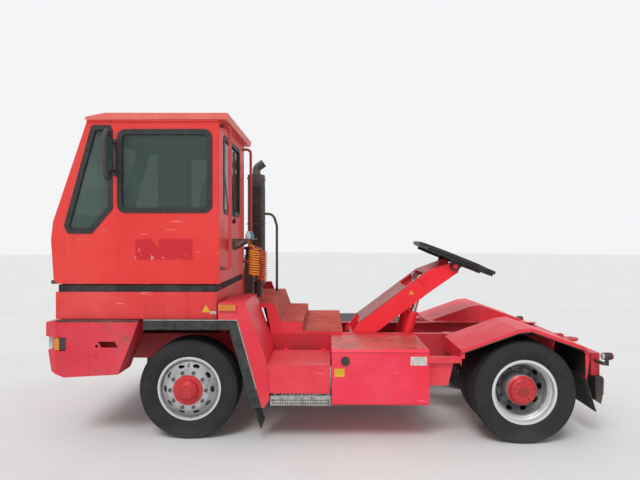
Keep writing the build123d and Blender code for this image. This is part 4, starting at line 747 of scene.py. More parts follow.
def makeRearFittings(look):
    f = redPaint("rearFittings", "guard", 9)[0]
    red = f.blend(f.patches(look["redSpots"]), *look["reds"])
    bracket = f.blend(f.patches(look["bracketSpots"]), *look["bracketColours"])
    rails = f.between(f.x, *look["railX"], 0.002) * f.ramp((f.y - look["railFromY"]).size(), *look["railOut"])
    colour = f.blend(rails, bracket, red)
    wiper = f.between(f.y, *look["wiperY"], 0.002) * f.ramp(f.z, *look["wiperZ"])
    colour = f.blend(wiper * (1 - rails), colour, look["wiperColour"])
    coupling = f.ramp(f.z, *look["couplingZ"]) * f.between(f.x, *look["couplingX"], 0.001)
    shown = f.blend(f.ramp(f.y, *look["couplingSplitY"]), *look["couplingColours"])
    f.feed(Base_Color=f.blend(coupling, colour, shown))
    return f.material


cabPaint = makeCabPaint(cabMarks)
skirtPaint = makeSkirtPaint(hoodMarks)
bumperPaint = makeBumperPaint(bumperMarks)
tankPaint = makeTankPaint(tankMarks)
boomPaint = makeBoomPaint(boomMarks)
print("red paints made")

paintNode(cabPaint, "cab_side_left", "cab_side_right", "cab_front", "cab_rear_wall", "cab_floor", "cab_door")
paintNode(makeRoofPaint(roofLook), "cab_roof")
paintNode(skirtPaint, "cab_base", "engine_hood")
paintNode(bumperPaint, "front_bumper")
paintNode(tankPaint, "side_tank_left")
paintNode(makeGuardPaint(guardMarks), "rear_mudguard_left", "rear_mudguard_right", "front_fenders",
          "step_box", "deck_frame")
paintNode(boomPaint, "boom", "lift_barrels")
paintNode(redPaint("paintFrame", "frame", 8)[0].material, "chassis_frame")
paintNode(makeRearFittings(fittingMarks), "cab_rear_fittings")
paintNode(antiSlip("antiSlipRed", 0.65), "deck_treads")
paintNode(frontTyreFinish, "front_tyre_left", "front_tyre_right")
paintNode(rearTyreFinish, "rear_tyres_left", "rear_tyres_right")
for sideName, way in bothSides:
    sideWord = sideName.lower()
    frontFinish = wheelFinish("wheelFront" + sideName, wheelPlace["frontX"], way, "front")
    rearFinish = wheelFinish("wheelRear" + sideName, wheelPlace["rearX"], way, "rear")
    paintNode(frontFinish, "front_wheel_" + sideWord)
    paintNode(rearFinish, "rear_wheels_" + sideWord)
paintNode(ribbedRubber("ribbedRubber"), "rubber_guards")
paintNode(plain["sealRubber"], "cab_seals", "cab_door_seal")
# the band filling the gap is near-black: painted shade of the gap
paintNode(plain["gapShadeBand"], "cab_gap_band")
paintNode(glassFinish("greenGlass"), "cab_glass", "cab_door_glass")
paintNode(lensFinish("amberLens", lensLook["amber"], lensLook["housingX"]), "amber_lamps")
paintNode(lensFinish("clearLens", lensLook["clear"]), "clear_lamps")
paintNode(lensFinish("redLens", lensLook["red"]), "red_lamps")
paintNode(plain["blackMetal"], "lamp_housings", "battery_box_and_air_tanks", "leaf_springs", "tie_rod",
          "front_axle_beam", "rear_axle_housing", "steering_knuckle_left", "steering_knuckle_right",
          "seat_base")
paintNode(plain["engineGrey"], "engine_and_gearbox")
paintNode(plain["blackPlastic"], "mirrors", "dashboard", "steering_wheel")
paintNode(plain["stackSteel"], "exhaust_stack")
paintNode(plain["galvanised"], "serrated_step")
paintNode(plain["hardChrome"], "lift_rods")
paintNode(plain["greasyBlack"], "fifth_wheel_plate")
paintNode(plain["seatCloth"], "seat_cushions")
floor.data.materials.append(plain["floorFinish"])


def startPiece(kind, **settings):
    deselectAll()
    getattr(bpy.ops.mesh, "primitive_" + kind + "_add")(**settings)
    return bpy.context.object


def pick(piece):
    deselectAll()
    piece.select_set(True)
    bpy.context.view_layer.objects.active = piece


def editAll(piece):
    pick(piece)
    bpy.ops.object.mode_set(mode="EDIT")
    bpy.ops.mesh.select_all(action="SELECT")


def settle(piece):
    pick(piece)
    bpy.ops.object.transform_apply(location=True, rotation=True, scale=True)


def modify(piece, kind, **settings):
    pick(piece)
    made = piece.modifiers.new(kind.lower(), kind)
    for key, value in settings.items():
        setattr(made, key, value)
    bpy.ops.object.modifier_apply(modifier=made.name)


def repeat(piece, count, step):
    modify(piece, "ARRAY", count=count, use_relative_offset=False, use_constant_offset=True,
           constant_offset_displace=step)


def block(low, high, bevel=0.0):
    middle = [(a + b) / 2 for a, b in zip(low, high)]
    span = [abs(b - a) for a, b in zip(low, high)]
    piece = startPiece("cube", size=1, location=middle, scale=span)
    settle(piece)
    if bevel:
        modify(piece, "BEVEL", width=bevel, segments=2)
    return piece


def rod(start, end, radius, sides=16, bevel=0.0):
    start, end = Vector(start), Vector(end)
    turn = (end - start).to_track_quat("Z", "Y").to_euler()
    piece = startPiece("cylinder", vertices=sides, radius=radius, depth=(end - start).length,
                       location=(start + end) / 2, rotation=turn)
    settle(piece)
    if bevel:
        modify(piece, "BEVEL", width=bevel, segments=2, angle_limit=0.9)
    return piece


def pegY(x, y, z, inward, outward, radius, sides=16, bevel=0.0):
    return rod((x, y + inward, z), (x, y + outward, z), radius, sides, bevel)


def pegZ(x, y, low, high, radius, sides=16, bevel=0.0):
    return rod((x, y, low), (x, y, high), radius, sides, bevel)


def ringPiece(place, turn, radius, tube):
    piece = startPiece("torus", location=place, rotation=turn, major_radius=radius, minor_radius=tube,
                       major_segments=32, minor_segments=8)
    settle(piece)
    return piece


def fuse(name, pieces, material, body, smooth=True):
    deselectAll()
    for piece in pieces:
        piece.select_set(True)
    bpy.context.view_layer.objects.active = pieces[0]
    if len(pieces) > 1:
        bpy.ops.object.join()
    piece = bpy.context.object
    piece.name = name
    piece.data.materials.clear()
    piece.data.materials.append(material)
    if smooth:
        bpy.ops.object.shade_smooth_by_angle(angle=0.6)
    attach(piece, body)
    return piece


def turned(x, z, rings, sides):
    lastY, lastRadius = rings[0]
    piece = startPiece("circle", vertices=sides, radius=lastRadius, location=(x, lastY, z),
                       rotation=(math.pi / 2, 0, 0))
    settle(piece)
    editAll(piece)
    for y, radius in rings[1:]:
        bpy.ops.mesh.extrude_region_move(TRANSFORM_OT_translate={"value": (0, y - lastY, 0)})
        share = radius / lastRadius
        bpy.ops.transform.resize(value=(share, 1, share), center_override=(x, y, z))
        lastY, lastRadius = y, radius
    bpy.ops.mesh.select_all(action="SELECT")
    bpy.ops.mesh.remove_doubles(threshold=0.00002)
    bpy.ops.mesh.normals_make_consistent(inside=False)
    bpy.ops.object.mode_set(mode="OBJECT")
    return piece


# tyres with ridged walls and a grooved tread, in place of the plain rings
tyreShape = {
    "sides": 96,
    "frontY": 1.0,
    "outerY": 1.09,
    "innerY": 0.74,
    # outward from the tyre's middle and radius, from the bead up to the middle of the tread
    "half": [
        (0.1030, 0.2862), (0.1090, 0.2995), (0.1262, 0.2998), (0.1330, 0.3120), (0.1420, 0.3270),
        (0.1436, 0.3275), (0.1452, 0.3320), (0.1444, 0.3340), (0.1500, 0.3530), (0.1540, 0.3720),
        (0.1556, 0.3725), (0.1570, 0.3790), (0.1560, 0.3810), (0.1566, 0.3950), (0.1548, 0.4140),
        (0.1510, 0.4300), (0.1490, 0.4320), (0.1496, 0.4400), (0.1470, 0.4520), (0.1400, 0.4620),
        (0.1300, 0.4660), (0.1010, 0.4680), (0.0990, 0.4570), (0.0890, 0.4570), (0.0870, 0.4684),
        (0.0440, 0.4684), (0.0420, 0.4560), (0.0320, 0.4560), (0.0300, 0.4684),
    ],
}


def makeTyre(name, x, y, material, body, node):
    half = tyreShape["half"]
    rings = [(y + out, radius) for out, radius in half]
    rings += [(y - out, radius) for out, radius in reversed(half)]
    rings.append(rings[0])
    tyre = fuse(name, [turned(x, wheelPlace["axleZ"], rings, tyreShape["sides"])], material, body)
    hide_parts(node)


for sideName, way in bothSides:
    sideWord = sideName.lower()
    makeTyre("frontTyre" + sideName, wheelPlace["frontX"], way * tyreShape["frontY"], frontTyreFinish,
             "front_wheel_" + sideWord, "front_tyre_" + sideWord)
    for place in ("Outer", "Inner"):
        y = way * tyreShape[place.lower() + "Y"]
        makeTyre("rear" + place + "Tyre" + sideName, wheelPlace["rearX"], y, rearTyreFinish,
                 "rear_wheels_" + sideWord, "rear_tyres_" + sideWord)
print("tyres made")

# hub bolts, a cap on each rear hub and the front valve stems
hubShape = {
    "boltRadius": 0.0085,
    "boltFoot": 0.003,
    "boltHeight": 0.007,
    "front": {"ring": 0.048, "face": 1.2375, "count": 6},
    "rear": {"ring": 0.088, "face": 1.1962, "count": 10},
    "capY": (1.194, 1.205),
    "capRadius": 0.048,
    "valveY": 1.118,
    "valveHeight": 0.236,
    "valveOut": (0.050, 0.064),
    "valveDrop": (0.012, 0.0152),
    "valveRadius": (0.0042, 0.0056),
}


def hubBolts(name, x, way, place, body):
    spot = hubShape[place]
    made = []
    for index in range(spot["count"]):
        angle = 2 * math.pi * index / spot["count"]
        made.append(pegY(x + spot["ring"] * math.sin(angle), way * spot["face"],
                         wheelPlace["axleZ"] + spot["ring"] * math.cos(angle), -way * hubShape["boltFoot"],
                         way * hubShape["boltHeight"], hubShape["boltRadius"], 6))
    fuse(name, made, plain["hubRed"], body, False)


def valveStem(name, x, way, body):
    y, z = way * hubShape["valveY"], wheelPlace["axleZ"] + hubShape["valveHeight"]
    bend, tip = [(x, y + way * out, z - drop)
                 for out, drop in zip(hubShape["valveOut"], hubShape["valveDrop"])]
    stemRadius, tipRadius = hubShape["valveRadius"]
    stem = [rod((x, y, z), bend, stemRadius, 10), rod(bend, tip, tipRadius, 10)]
    fuse(name, stem, plain["softPlastic"], body)


for sideName, way in bothSides:
    frontBody, rearBody = "front_wheel_" + sideName.lower(), "rear_wheels_" + sideName.lower()
    hubBolts("frontHubBolts" + sideName, wheelPlace["frontX"], way, "front", frontBody)
    hubBolts("rearHubBolts" + sideName, wheelPlace["rearX"], way, "rear", rearBody)
    capStart, capEnd = [(wheelPlace["rearX"], way * y, wheelPlace["axleZ"]) for y in hubShape["capY"]]
    cap = rod(capStart, capEnd, hubShape["capRadius"], 32, 0.003)
    fuse("rearHubCap" + sideName, [cap], plain["hubRed"], rearBody)
    valveStem("frontValve" + sideName, wheelPlace["frontX"], way, frontBody)
print("hub fittings made")

# raised lozenges on the step box and on the deck's treads
lozengeLook = {
    "span": (0.018, 0.0065, 0.0022),
    "taper": 0.45,
    "pitchX": 0.046,
    # place of the first lozenge, how many along and across, pitch across
    "lowTreadLozenges": ((-0.045, -1.22, 0.9008), (9, 33), 0.050),
    "midTreadLozenges": ((0.376, -1.17, 1.0008), (5, 32), 0.050),
    "highTreadLozenges": ((0.690, -0.74, 1.1988), (9, 23), 0.050),
    "stepTopLozenges": ((0.098, 0.60, 0.7228), (12, 13), 0.048),
    "stepBoxLozenges": ((0.098, 1.2508, 0.486), (12, 6), 0.040),
}


def lozenges(name, material, upright=False):
    first, counts, pitch = lozengeLook[name]
    along = (lozengeLook["pitchX"], 0, 0)
    across = (0, 0, pitch) if upright else (0, pitch, 0)
    turn = (math.radians(-90), 0, 0) if upright else (0, 0, 0)
    made = []
    for index in (0, 1):
        place = [a + index * (b + c) / 2 for a, b, c in zip(first, along, across)]
        piece = startPiece("cone", vertices=4, radius1=1.0, radius2=lozengeLook["taper"], depth=1.0,
                           location=place, scale=lozengeLook["span"], rotation=turn)
        settle(piece)
        repeat(piece, counts[0] - index, along)
        repeat(piece, counts[1] - index, across)
        made.append(piece)
    fuse(name, made, material, "chassis", False)


lozenges("stepBoxLozenges", redPaint("paintLozenge", "tank", 11)[0].material, True)
treadMetal = antiSlip("treadLozengeRed", 0.45)
for treadName in ("lowTreadLozenges", "midTreadLozenges", "highTreadLozenges", "stepTopLozenges"):
    lozenges(treadName, treadMetal)

# teeth of the serrated step, and its diamond holes as dark tiles of painted shade
stepLook = {
    "toothX": 0.072,
    "toothY": (1.2465, 1.0035),
    "toothZ": 0.4395,
    "toothFoot": 0.0085,
    "toothTip": 0.002,
    "toothThin": (1, 0.35, 1),
    "toothHeight": 0.010,
    "toothCount": 37,
    "toothPitch": 0.0148,
    "diamondPlace": (0.084, 1.2508, 0.400),
    "diamondRadius": 0.009,
    "diamondDepth": 0.003,
    "diamondColumns": 23,
    "diamondRows": 2,
    "diamondPitch": 0.0232,
    "diamondDrop": -0.028,
}
teethRows = []
for y in stepLook["toothY"]:
    teeth = startPiece("cone", vertices=4, radius1=stepLook["toothFoot"], radius2=stepLook["toothTip"],
                       depth=stepLook["toothHeight"], location=(stepLook["toothX"], y, stepLook["toothZ"]),
                       scale=stepLook["toothThin"])
    settle(teeth)
    repeat(teeth, stepLook["toothCount"], (stepLook["toothPitch"], 0, 0))
    teethRows.append(teeth)
fuse("stepTeeth", teethRows, plain["stepSteel"], "chassis", False)
# dark diamond tiles on the step's face: painted shade in its holes
diamonds = startPiece("cylinder", vertices=4, radius=stepLook["diamondRadius"],
                      depth=stepLook["diamondDepth"], location=stepLook["diamondPlace"],
                      rotation=(math.radians(90), 0, 0))
settle(diamonds)
repeat(diamonds, stepLook["diamondColumns"], (stepLook["diamondPitch"], 0, 0))
repeat(diamonds, stepLook["diamondRows"], (0, 0, stepLook["diamondDrop"]))
fuse("stepDiamonds", [diamonds], plain["holeShadeAndSwitchDark"], "chassis", False)
print("step and treads dressed")

# pale strips along the front arches' edges, a painted highlight, and bolts on the front arches
archLook = {
    "outer": 1.2508,
    "slopeStrip": ((0.922, 1.132), (0.744, 0.500)),
    "levelStrip": ((0.922, 1.1325), (1.783, 1.1325)),
    "stripRadius": 0.0045,
    "boltRadius": 0.009,
    "boltFoot": 0.002,
    "boltHeight": 0.004,
    "topBolt": (0.99, 1.09),
    "topStep": (0.145, 0, 0),
    "topCount": 6,
    "slopeBolt": (0.765, 0.42),
    "slopeStep": (0.041, 0, 0.145),
    "slopeCount": 5,
}
for sideName, way in bothSides:
    edge = way * archLook["outer"]
    strips = []
    for row in ("slopeStrip", "levelStrip"):
        start, end = [(x, edge, z) for x, z in archLook[row]]
        strips.append(rod(start, end, archLook["stripRadius"], 8))
    fuse("archEdge" + sideName, strips, plain["bentEdgeHighlight"], "chassis")
    boltRows = []
    for row in ("top", "slope"):
        boltX, boltZ = archLook[row + "Bolt"]
        bolts = pegY(boltX, edge, boltZ, -way * archLook["boltFoot"], way * archLook["boltHeight"],
                     archLook["boltRadius"], 12)
        repeat(bolts, archLook[row + "Count"], archLook[row + "Step"])
        boltRows.append(bolts)
    fuse("archBolts" + sideName, boltRows, plain["blackMetal"], "chassis")

# beads in a dark red of painted shade, bolts, and near-black sheets of painted shade under the rear mudguards
guardLook = {
    # the sheet's outer line as x and z, from the front edge over the wheel to the back
    "line": [(-1.130, 0.863), (-1.653, 1.051), (-1.770, 1.065), (-2.260, 0.892), (-2.296, 0.838),
             (-2.269, 0.610)],
    "beadY": 1.2475,
    "beadDrop": 0.036,
    "beadRadius": 0.0055,
    "boltPlace": (-1.22, 0.42),
    "boltZ": (0.879, 0.887),
    "boltRadius": 0.011,
    "boltCount": 7,
    "boltPitch": -0.165,
    "shadeSheetY": 0.870,
    "shadeSheetWide": 0.730,
    "shadeSheetGap": 0.0135,
    "shadeSheetShorter": 0.026,
    "shadeSheetThick": 0.003,
}
guardRuns = list(zip(guardLook["line"][:-1], guardLook["line"][1:]))


def shadeSheetPiece(start, end, way):
    along = Vector((end[0] - start[0], 0, end[1] - start[1]))
    inward = Vector((along.z, 0, -along.x)).normalized() * guardLook["shadeSheetGap"]
    upright = abs(along.x) < 0.05
    if (upright and inward.x < 0) or (not upright and inward.z > 0):
        inward = -inward
    middle = Vector(((start[0] + end[0]) / 2, way * guardLook["shadeSheetY"], (start[1] + end[1]) / 2)) + inward
    piece = startPiece("cube", size=1, location=middle, rotation=(0, math.atan2(-along.z, along.x), 0),
                       scale=(along.length - guardLook["shadeSheetShorter"], guardLook["shadeSheetWide"],
                              guardLook["shadeSheetThick"]))
    settle(piece)
    return piece


for sideName, way in bothSides:
    beadY, drop = way * guardLook["beadY"], guardLook["beadDrop"]
    beads = []
    for (startX, startZ), (endX, endZ) in guardRuns:
        start, end = (startX, beadY, startZ - drop), (endX, beadY, endZ - drop)
        beads.append(rod(start, end, guardLook["beadRadius"], 8))
    # the beads are dark red: painted shade along the pressed bead
    fuse("guardBead" + sideName, beads, plain["guardBeadShade"], "chassis")
    boltX, boltY = guardLook["boltPlace"]
    heads = pegZ(boltX, way * boltY, *guardLook["boltZ"], guardLook["boltRadius"], 6)
    repeat(heads, guardLook["boltCount"], (guardLook["boltPitch"], 0, 0))
    fuse("guardBolts" + sideName, [heads], plain["blackMetal"], "chassis", False)
    # near-black sheets just under each mudguard's sheet: painted shade
    shadeSheets = [shadeSheetPiece(start, end, way) for start, end in guardRuns]
    fuse("guardLining" + sideName, shadeSheets, plain["guardLining"], "chassis", False)
print("arches and guards dressed")

# boom: rings round the pins, bolts and a weld bead on each side
boomDetail = {
    "pivotX": -0.180,
    "pivotZ": 0.800,
    "side": 0.335,
    "ringTube": 0.006,
    # along the boom, above its axis, radius, out from the side
    "rings": ((0.0, 0.0, 0.050, 0.001), (0.987, 0.050, 0.026, 0.012)),
    "bolts": ((0.20, 0.072), (0.20, -0.068), (1.03, 0.075), (1.03, -0.075), (0.62, 0.078)),
    "boltFoot": 0.003,
    "boltHeight": 0.006,
    "boltRadius": 0.0095,
    "seam": ((0.185, 0.1005), (1.070, 0.0985)),
    "seamOut": 0.001,
    "seamRadius": 0.0035,
}


def onBoom(along, above, y):
    return (boomDetail["pivotX"] - along * math.cos(boomTurn) + above * math.sin(boomTurn), y,
            boomDetail["pivotZ"] + along * math.sin(boomTurn) + above * math.cos(boomTurn))


for sideName, way in bothSides:
    boomBits = []
    for along, above, radius, out in boomDetail["rings"]:
        place = onBoom(along, above, way * (boomDetail["side"] + out))
        boomBits.append(ringPiece(place, (math.pi / 2, 0, 0), radius, boomDetail["ringTube"]))
    for along, above in boomDetail["bolts"]:
        boomBits.append(pegY(*onBoom(along, above, way * boomDetail["side"]), -way * boomDetail["boltFoot"],
                             way * boomDetail["boltHeight"], boomDetail["boltRadius"], 6))
    seamStart, seamEnd = [onBoom(along, above, way * (boomDetail["side"] + boomDetail["seamOut"]))
                          for along, above in boomDetail["seam"]]
    boomBits.append(rod(seamStart, seamEnd, boomDetail["seamRadius"], 8))
    fuse("boomFittings" + sideName, boomBits, boomPaint, "boom")

# blank stickers
stickerLook = {
    "half": 0.0004,
    "stickers": {
        # kind, place, width and height, finish, body
        "boomSticker": ("triangle", onBoom(0.80, 0.015, 0.3357), (0.055, 0.055), "blankYellow", "boom"),
        "tankStickerYellow": ("plate", (-0.019, 1.2507, 0.653), (0.092, 0.074), "blankYellow", "chassis"),
        "tankStickerWhite": ("plate", (-0.743, 1.2507, 0.762), (0.150, 0.080), "blankWhite", "chassis"),
        "baseStickerYellow": ("triangle", (1.216, 1.2005, 1.222), (0.080, 0.080), "blankYellow", "chassis"),
        "baseStickerWhite": ("plate", (1.150, 1.2007, 1.196), (0.058, 0.026), "blankWhite", "chassis"),
    },
}


def sticker(name):
    kind, (x, y, z), (wide, high), finish, body = stickerLook["stickers"][name]
    half = stickerLook["half"]
    if kind == "triangle":
        piece = startPiece("cylinder", vertices=3, radius=wide / 1.73, depth=2 * half, location=(x, y, z),
                           rotation=(math.radians(90), 0, 0))
        settle(piece)
    else:
        piece = block((x - wide / 2, y - half, z - high / 2), (x + wide / 2, y + half, z + high / 2))
    fuse(name, [piece], plain[finish], body, False)


for stickerName in stickerLook["stickers"]:
    sticker(stickerName)

# under the fifth wheel's plate: bolt heads, the lock's two rods and its handle with a grip
lockLook = {
    "pivotX": -1.27523,
    "pivotZ": 1.58149,
    "turn": math.radians(22),
    # along the plate and sideways
    "bolts": ((0.30, 0.16), (0.18, 0.34), (-0.12, 0.38), (-0.30, 0.25)),
    "boltAbove": (0.080, 0.0715),
    "boltRadius": 0.016,
    # along, sideways and above the pivot, for both ends, then the radius
    "handle": ((-0.09, 0.10, 0.062), (-0.11, 0.452, 0.058), 0.010),
    "grip": ((-0.13, 0.452, 0.058), (-0.09, 0.452, 0.058), 0.013),
    "rodLeft": ((-0.14, 0.12, 0.066), (0.02, 0.12, 0.066), 0.0125),
    "rodRight": ((-0.14, -0.12, 0.066), (0.02, -0.12, 0.066), 0.0125),
}


def onPlate(along, y, above):
    turn = lockLook["turn"]
    return (lockLook["pivotX"] + along * math.cos(turn) - above * math.sin(turn), y,
            lockLook["pivotZ"] + along * math.sin(turn) + above * math.cos(turn))


plateBits = []
for along, y in lockLook["bolts"]:
    for way in (1, -1):
        high, low = [onPlate(along, way * y, above) for above in lockLook["boltAbove"]]
        plateBits.append(rod(high, low, lockLook["boltRadius"], 6))
for part in ("rodLeft", "rodRight", "handle", "grip"):
    start, end, radius = lockLook[part]
    plateBits.append(rod(onPlate(*start), onPlate(*end), radius, 12))
fuse("fifthWheelLock", plateBits, plain["greasyBlack"], "fifth_wheel")

# clamped pipes inside the frame's rails, between the cross pieces and the boom's pin
pipeLook = {
    "y": (0.372, 0.400),
    "z": 0.722,
    "front": 0.62,
    # rear end and pipe radius
    "Left": (-0.60, 0.011),
    "Right": (-2.30, 0.009),
    "clampX": (-2.1, -1.5, -0.9, -0.4, 0.0, 0.5),
    "clampLong": 0.03,
    "clampY": (0.357, 0.4215),
    "clampHalf": 0.015,
}
for sideName, way in bothSides:
    rear, radius = pipeLook[sideName]
    z, half = pipeLook["z"], pipeLook["clampHalf"]
    pipes = [rod((rear, way * y, z), (pipeLook["front"], way * y, z), radius, 12) for y in pipeLook["y"]]
    nearY, farY = [way * y for y in pipeLook["clampY"]]
    for x in pipeLook["clampX"]:
        if x > rear:
            pipes.append(block((x, nearY, z - half), (x + pipeLook["clampLong"], farY, z + half), 0.002))
    fuse("framePipes" + sideName, pipes, plain["softPlastic"], "chassis")
print("boom and fifth wheel dressed")

# cab: vent plugs, rivets, gutters, seams and the stop under the front corner
cabLook = {
    "sideY": 1.199,
    "rivetRadius": 0.0045,
    "rivetHeight": 0.0035,
    "slopeRivets": ((2.313, 2.900), 6, (0.0371, 0, -0.115)),
    "lowRivets": ((1.180, 1.490), 12, (0.122, 0, 0)),
    "plugX": (1.160, 1.205),
    "plugZ": 1.560,
    "plugY": (1.1985, 1.2035),
    "plugRadius": 0.007,
    "gutterX": (1.10, 2.325),
    "gutterZ": (2.962, 2.974),
    "gutterLeftY": (1.198, 1.2105),
    "gutterRightY": (-0.4105, -0.398),
    # both ends and the radius
    "rearSeam": ((1.0965, 1.198, 1.47), (1.0965, 1.198, 2.95), 0.006),
    "frontSeam": ((2.6345, 1.160, 1.47), (2.660, 1.160, 1.868), 0.004),
    "stopPeg": ((2.640, 1.196, 1.478), (2.640, 1.203, 1.478), 0.020),
    "stopPlate": ((2.600, 1.150, 1.463), (2.652, 1.202, 1.4725)),
}
cabBits = []
for x in cabLook["plugX"]:
    plugIn, plugOut = [(x, y, cabLook["plugZ"]) for y in cabLook["plugY"]]
    cabBits.append(rod(plugIn, plugOut, cabLook["plugRadius"], 12))
for rowName in ("slopeRivets", "lowRivets"):
    (x, z), count, step = cabLook[rowName]
    rivets = pegY(x, cabLook["sideY"], z, 0, cabLook["rivetHeight"], cabLook["rivetRadius"], 10)
    repeat(rivets, count, step)
    cabBits.append(rivets)
for gutterY in (cabLook["gutterLeftY"], cabLook["gutterRightY"]):
    low, high = zip(cabLook["gutterX"], gutterY, cabLook["gutterZ"])
    cabBits.append(block(low, high, 0.003))
cabBits.append(rod(*cabLook["rearSeam"], 10))
cabBits.append(rod(*cabLook["frontSeam"], 8))
fuse("cabGutters", cabBits, cabPaint, "cab")
stopBits = [rod(*cabLook["stopPeg"], 20, 0.002), block(*cabLook["stopPlate"], 0.002)]
fuse("cabFrontStop", stopBits, plain["blackMetal"], "cab")

wiperLook = {
    "y": (0.05, 0.75),
    "baseX": 2.628,
    "baseZ": 2.062,
    "baseRadius": 0.020,
    # from the base inwards to its foot, outwards to its face and to the arm
    "baseFoot": (-0.01, 0, 0),
    "baseFace": (0.012, 0, 0),
    "armFrom": (0.010, 0, 0),
    "armTo": (2.46, 0.33, 2.50),
    "armRadius": 0.006,
    "bladeBack": (-0.004, 0, 0),
    "bladeWay": (-0.322, 0, 0.942),
    "bladeHalf": 0.24,
    "bladeRadius": 0.0065,
}
wipers = []
for y in wiperLook["y"]:
    base = Vector((wiperLook["baseX"], y, wiperLook["baseZ"]))
    foot, face, arm = [base + Vector(wiperLook[key]) for key in ("baseFoot", "baseFace", "armFrom")]
    tip = Vector((0, y, 0)) + Vector(wiperLook["armTo"])
    wipers.append(rod(foot, face, wiperLook["baseRadius"], 16))
    wipers.append(rod(arm, tip, wiperLook["armRadius"], 10))
    half = Vector(wiperLook["bladeWay"]).normalized() * wiperLook["bladeHalf"]
    middle = tip + Vector(wiperLook["bladeBack"])
    wipers.append(rod(middle - half, middle + half, wiperLook["bladeRadius"], 8))
fuse("screenWipers", wipers, plain["softPlastic"], "cab")

doorLook = {
    "handle": ((1.215, -0.4465, 2.060), (1.245, -0.4405, 2.110)),
    "lock": ((1.26, -0.4005, 1.955), (1.26, -0.409, 1.955), 0.014),
    "ribX": (1.30, 1.72),
    "ribY": (-0.4035, -0.4005),
    "ribZ": (1.60, 1.75, 1.90),
    "ribHigh": 0.012,
}
doorBits = [block(*doorLook["handle"], 0.002), rod(*doorLook["lock"], 20, 0.002)]
for z in doorLook["ribZ"]:
    low, high = zip(doorLook["ribX"], doorLook["ribY"], (z, z + doorLook["ribHigh"]))
    doorBits.append(block(low, high, 0.001))
fuse("doorFittings", doorBits, cabPaint, "cab_door")
print("cab dressed")

# exhaust: pierced heat shield with dark discs of painted shade in its holes, bands, a ring at the tip and the
# intake's cap
stackLook = {
    "holeRadius": 0.011,
    "holePitch": 0.028,
    "holeRise": 0.031,
    "holeColumns": 5,
    "holeRows": 34,
    # first hole's ends and the way along its row
    "sideHoles": ((0.951, -0.7752, 1.50), (0.951, -0.7735, 1.50), (1, 0, 0)),
    "rearHoles": ((0.9035, -0.936, 1.50), (0.9015, -0.936, 1.50), (0, 1, 0)),
    "bandZ": (1.40, 2.05, 2.63),
    "bandX": (0.8995, 1.1145),
    "bandY": (-0.9875, -0.7725),
    "bandHigh": 0.022,
    "tipPlace": (1.007, -0.880, 2.700),
    "tipRadius": 0.056,
    "tipTube": 0.007,
    "intakePlace": (1.0675, -0.650),
    # bottom, top, radius, edge
    "intakeSteps": ((1.640, 1.672, 0.060, 0.006), (1.672, 1.735, 0.048, 0.004), (1.735, 1.775, 0.070, 0.016)),
}
holeSets = []
for holeName in ("sideHoles", "rearHoles"):
    start, end, along = stackLook[holeName]
    holes = rod(start, end, stackLook["holeRadius"], 10)
    repeat(holes, stackLook["holeColumns"], [stackLook["holePitch"] * part for part in along])
    repeat(holes, stackLook["holeRows"], (0, 0, stackLook["holeRise"]))
    holeSets.append(holes)
fuse("shieldHoleShade", holeSets, plain["shieldHoleShade"], "chassis")
bands = []
for z in stackLook["bandZ"]:
    low, high = zip(stackLook["bandX"], stackLook["bandY"], (z, z + stackLook["bandHigh"]))
    bands.append(block(low, high, 0.004))
bands.append(ringPiece(stackLook["tipPlace"], (0, 0, 0), stackLook["tipRadius"], stackLook["tipTube"]))
fuse("stackBands", bands, plain["stackSteel"], "chassis")
intake = [pegZ(*stackLook["intakePlace"], low, high, radius, 28, edge)
          for low, high, radius, edge in stackLook["intakeSteps"]]
fuse("intakeCap", intake, plain["softPlastic"], "chassis")

# hood: catches, hinges and ribs on its top
hoodLook = {
    "x": (1.45, 2.25),
    "topZ": 1.5000,
    "catchLong": 0.11,
    "catchY": (-1.165, -1.135),
    "catchTop": 1.508,
    "hingeLong": 0.09,
    "hingeY": (-0.470, -0.437),
    "hingeTop": 1.512,
    "rib": ((1.72, -0.98, 1.5000), (2.10, -0.965, 1.508)),
    "ribCount": 8,
    "ribPitch": 0.055,
}
hoodBits = []
for x in hoodLook["x"]:
    for part in ("catch", "hinge"):
        low, high = zip((x, x + hoodLook[part + "Long"]), hoodLook[part + "Y"],
                        (hoodLook["topZ"], hoodLook[part + "Top"]))
        hoodBits.append(block(low, high, 0.003))
ribs = block(*hoodLook["rib"], 0.002)
repeat(ribs, hoodLook["ribCount"], (0, hoodLook["ribPitch"], 0))
fuse("hoodFittings", hoodBits + [ribs], skirtPaint, "chassis")

# bezels round the headlamps, the blank plate and the bumper's bolts
bezelLook = {
    "x": (2.700, 2.722),
    "y": (0.868, 1.112),
    "z": (0.8525, 0.9555),
    "bar": 0.006,
    "ringY": (0.935, 1.040),
    "ringX": (2.716, 2.7195),
    "ringZ": 0.907,
    "ringRadius": 0.044,
}
bezels = []
for sideName, way in bothSides:
    nearX, farX = bezelLook["x"]
    lowZ, highZ = bezelLook["z"]
    bar = bezelLook["bar"]
    edges = sorted(way * y for y in bezelLook["y"])
    for z in bezelLook["z"]:
        bezels.append(block((nearX, edges[0], z), (farX, edges[1], z + bar), 0.001))
    for y in edges:
        bezels.append(block((nearX, y - bar / 2, lowZ), (farX, y + bar / 2, highZ + bar), 0.001))
    for y in bezelLook["ringY"]:
        ends = [(x, way * y, bezelLook["ringZ"]) for x in bezelLook["ringX"]]
        bezels.append(rod(*ends, bezelLook["ringRadius"], 32, 0.001))
fuse("frontLampBezels", bezels, plain["softPlastic"], "chassis")

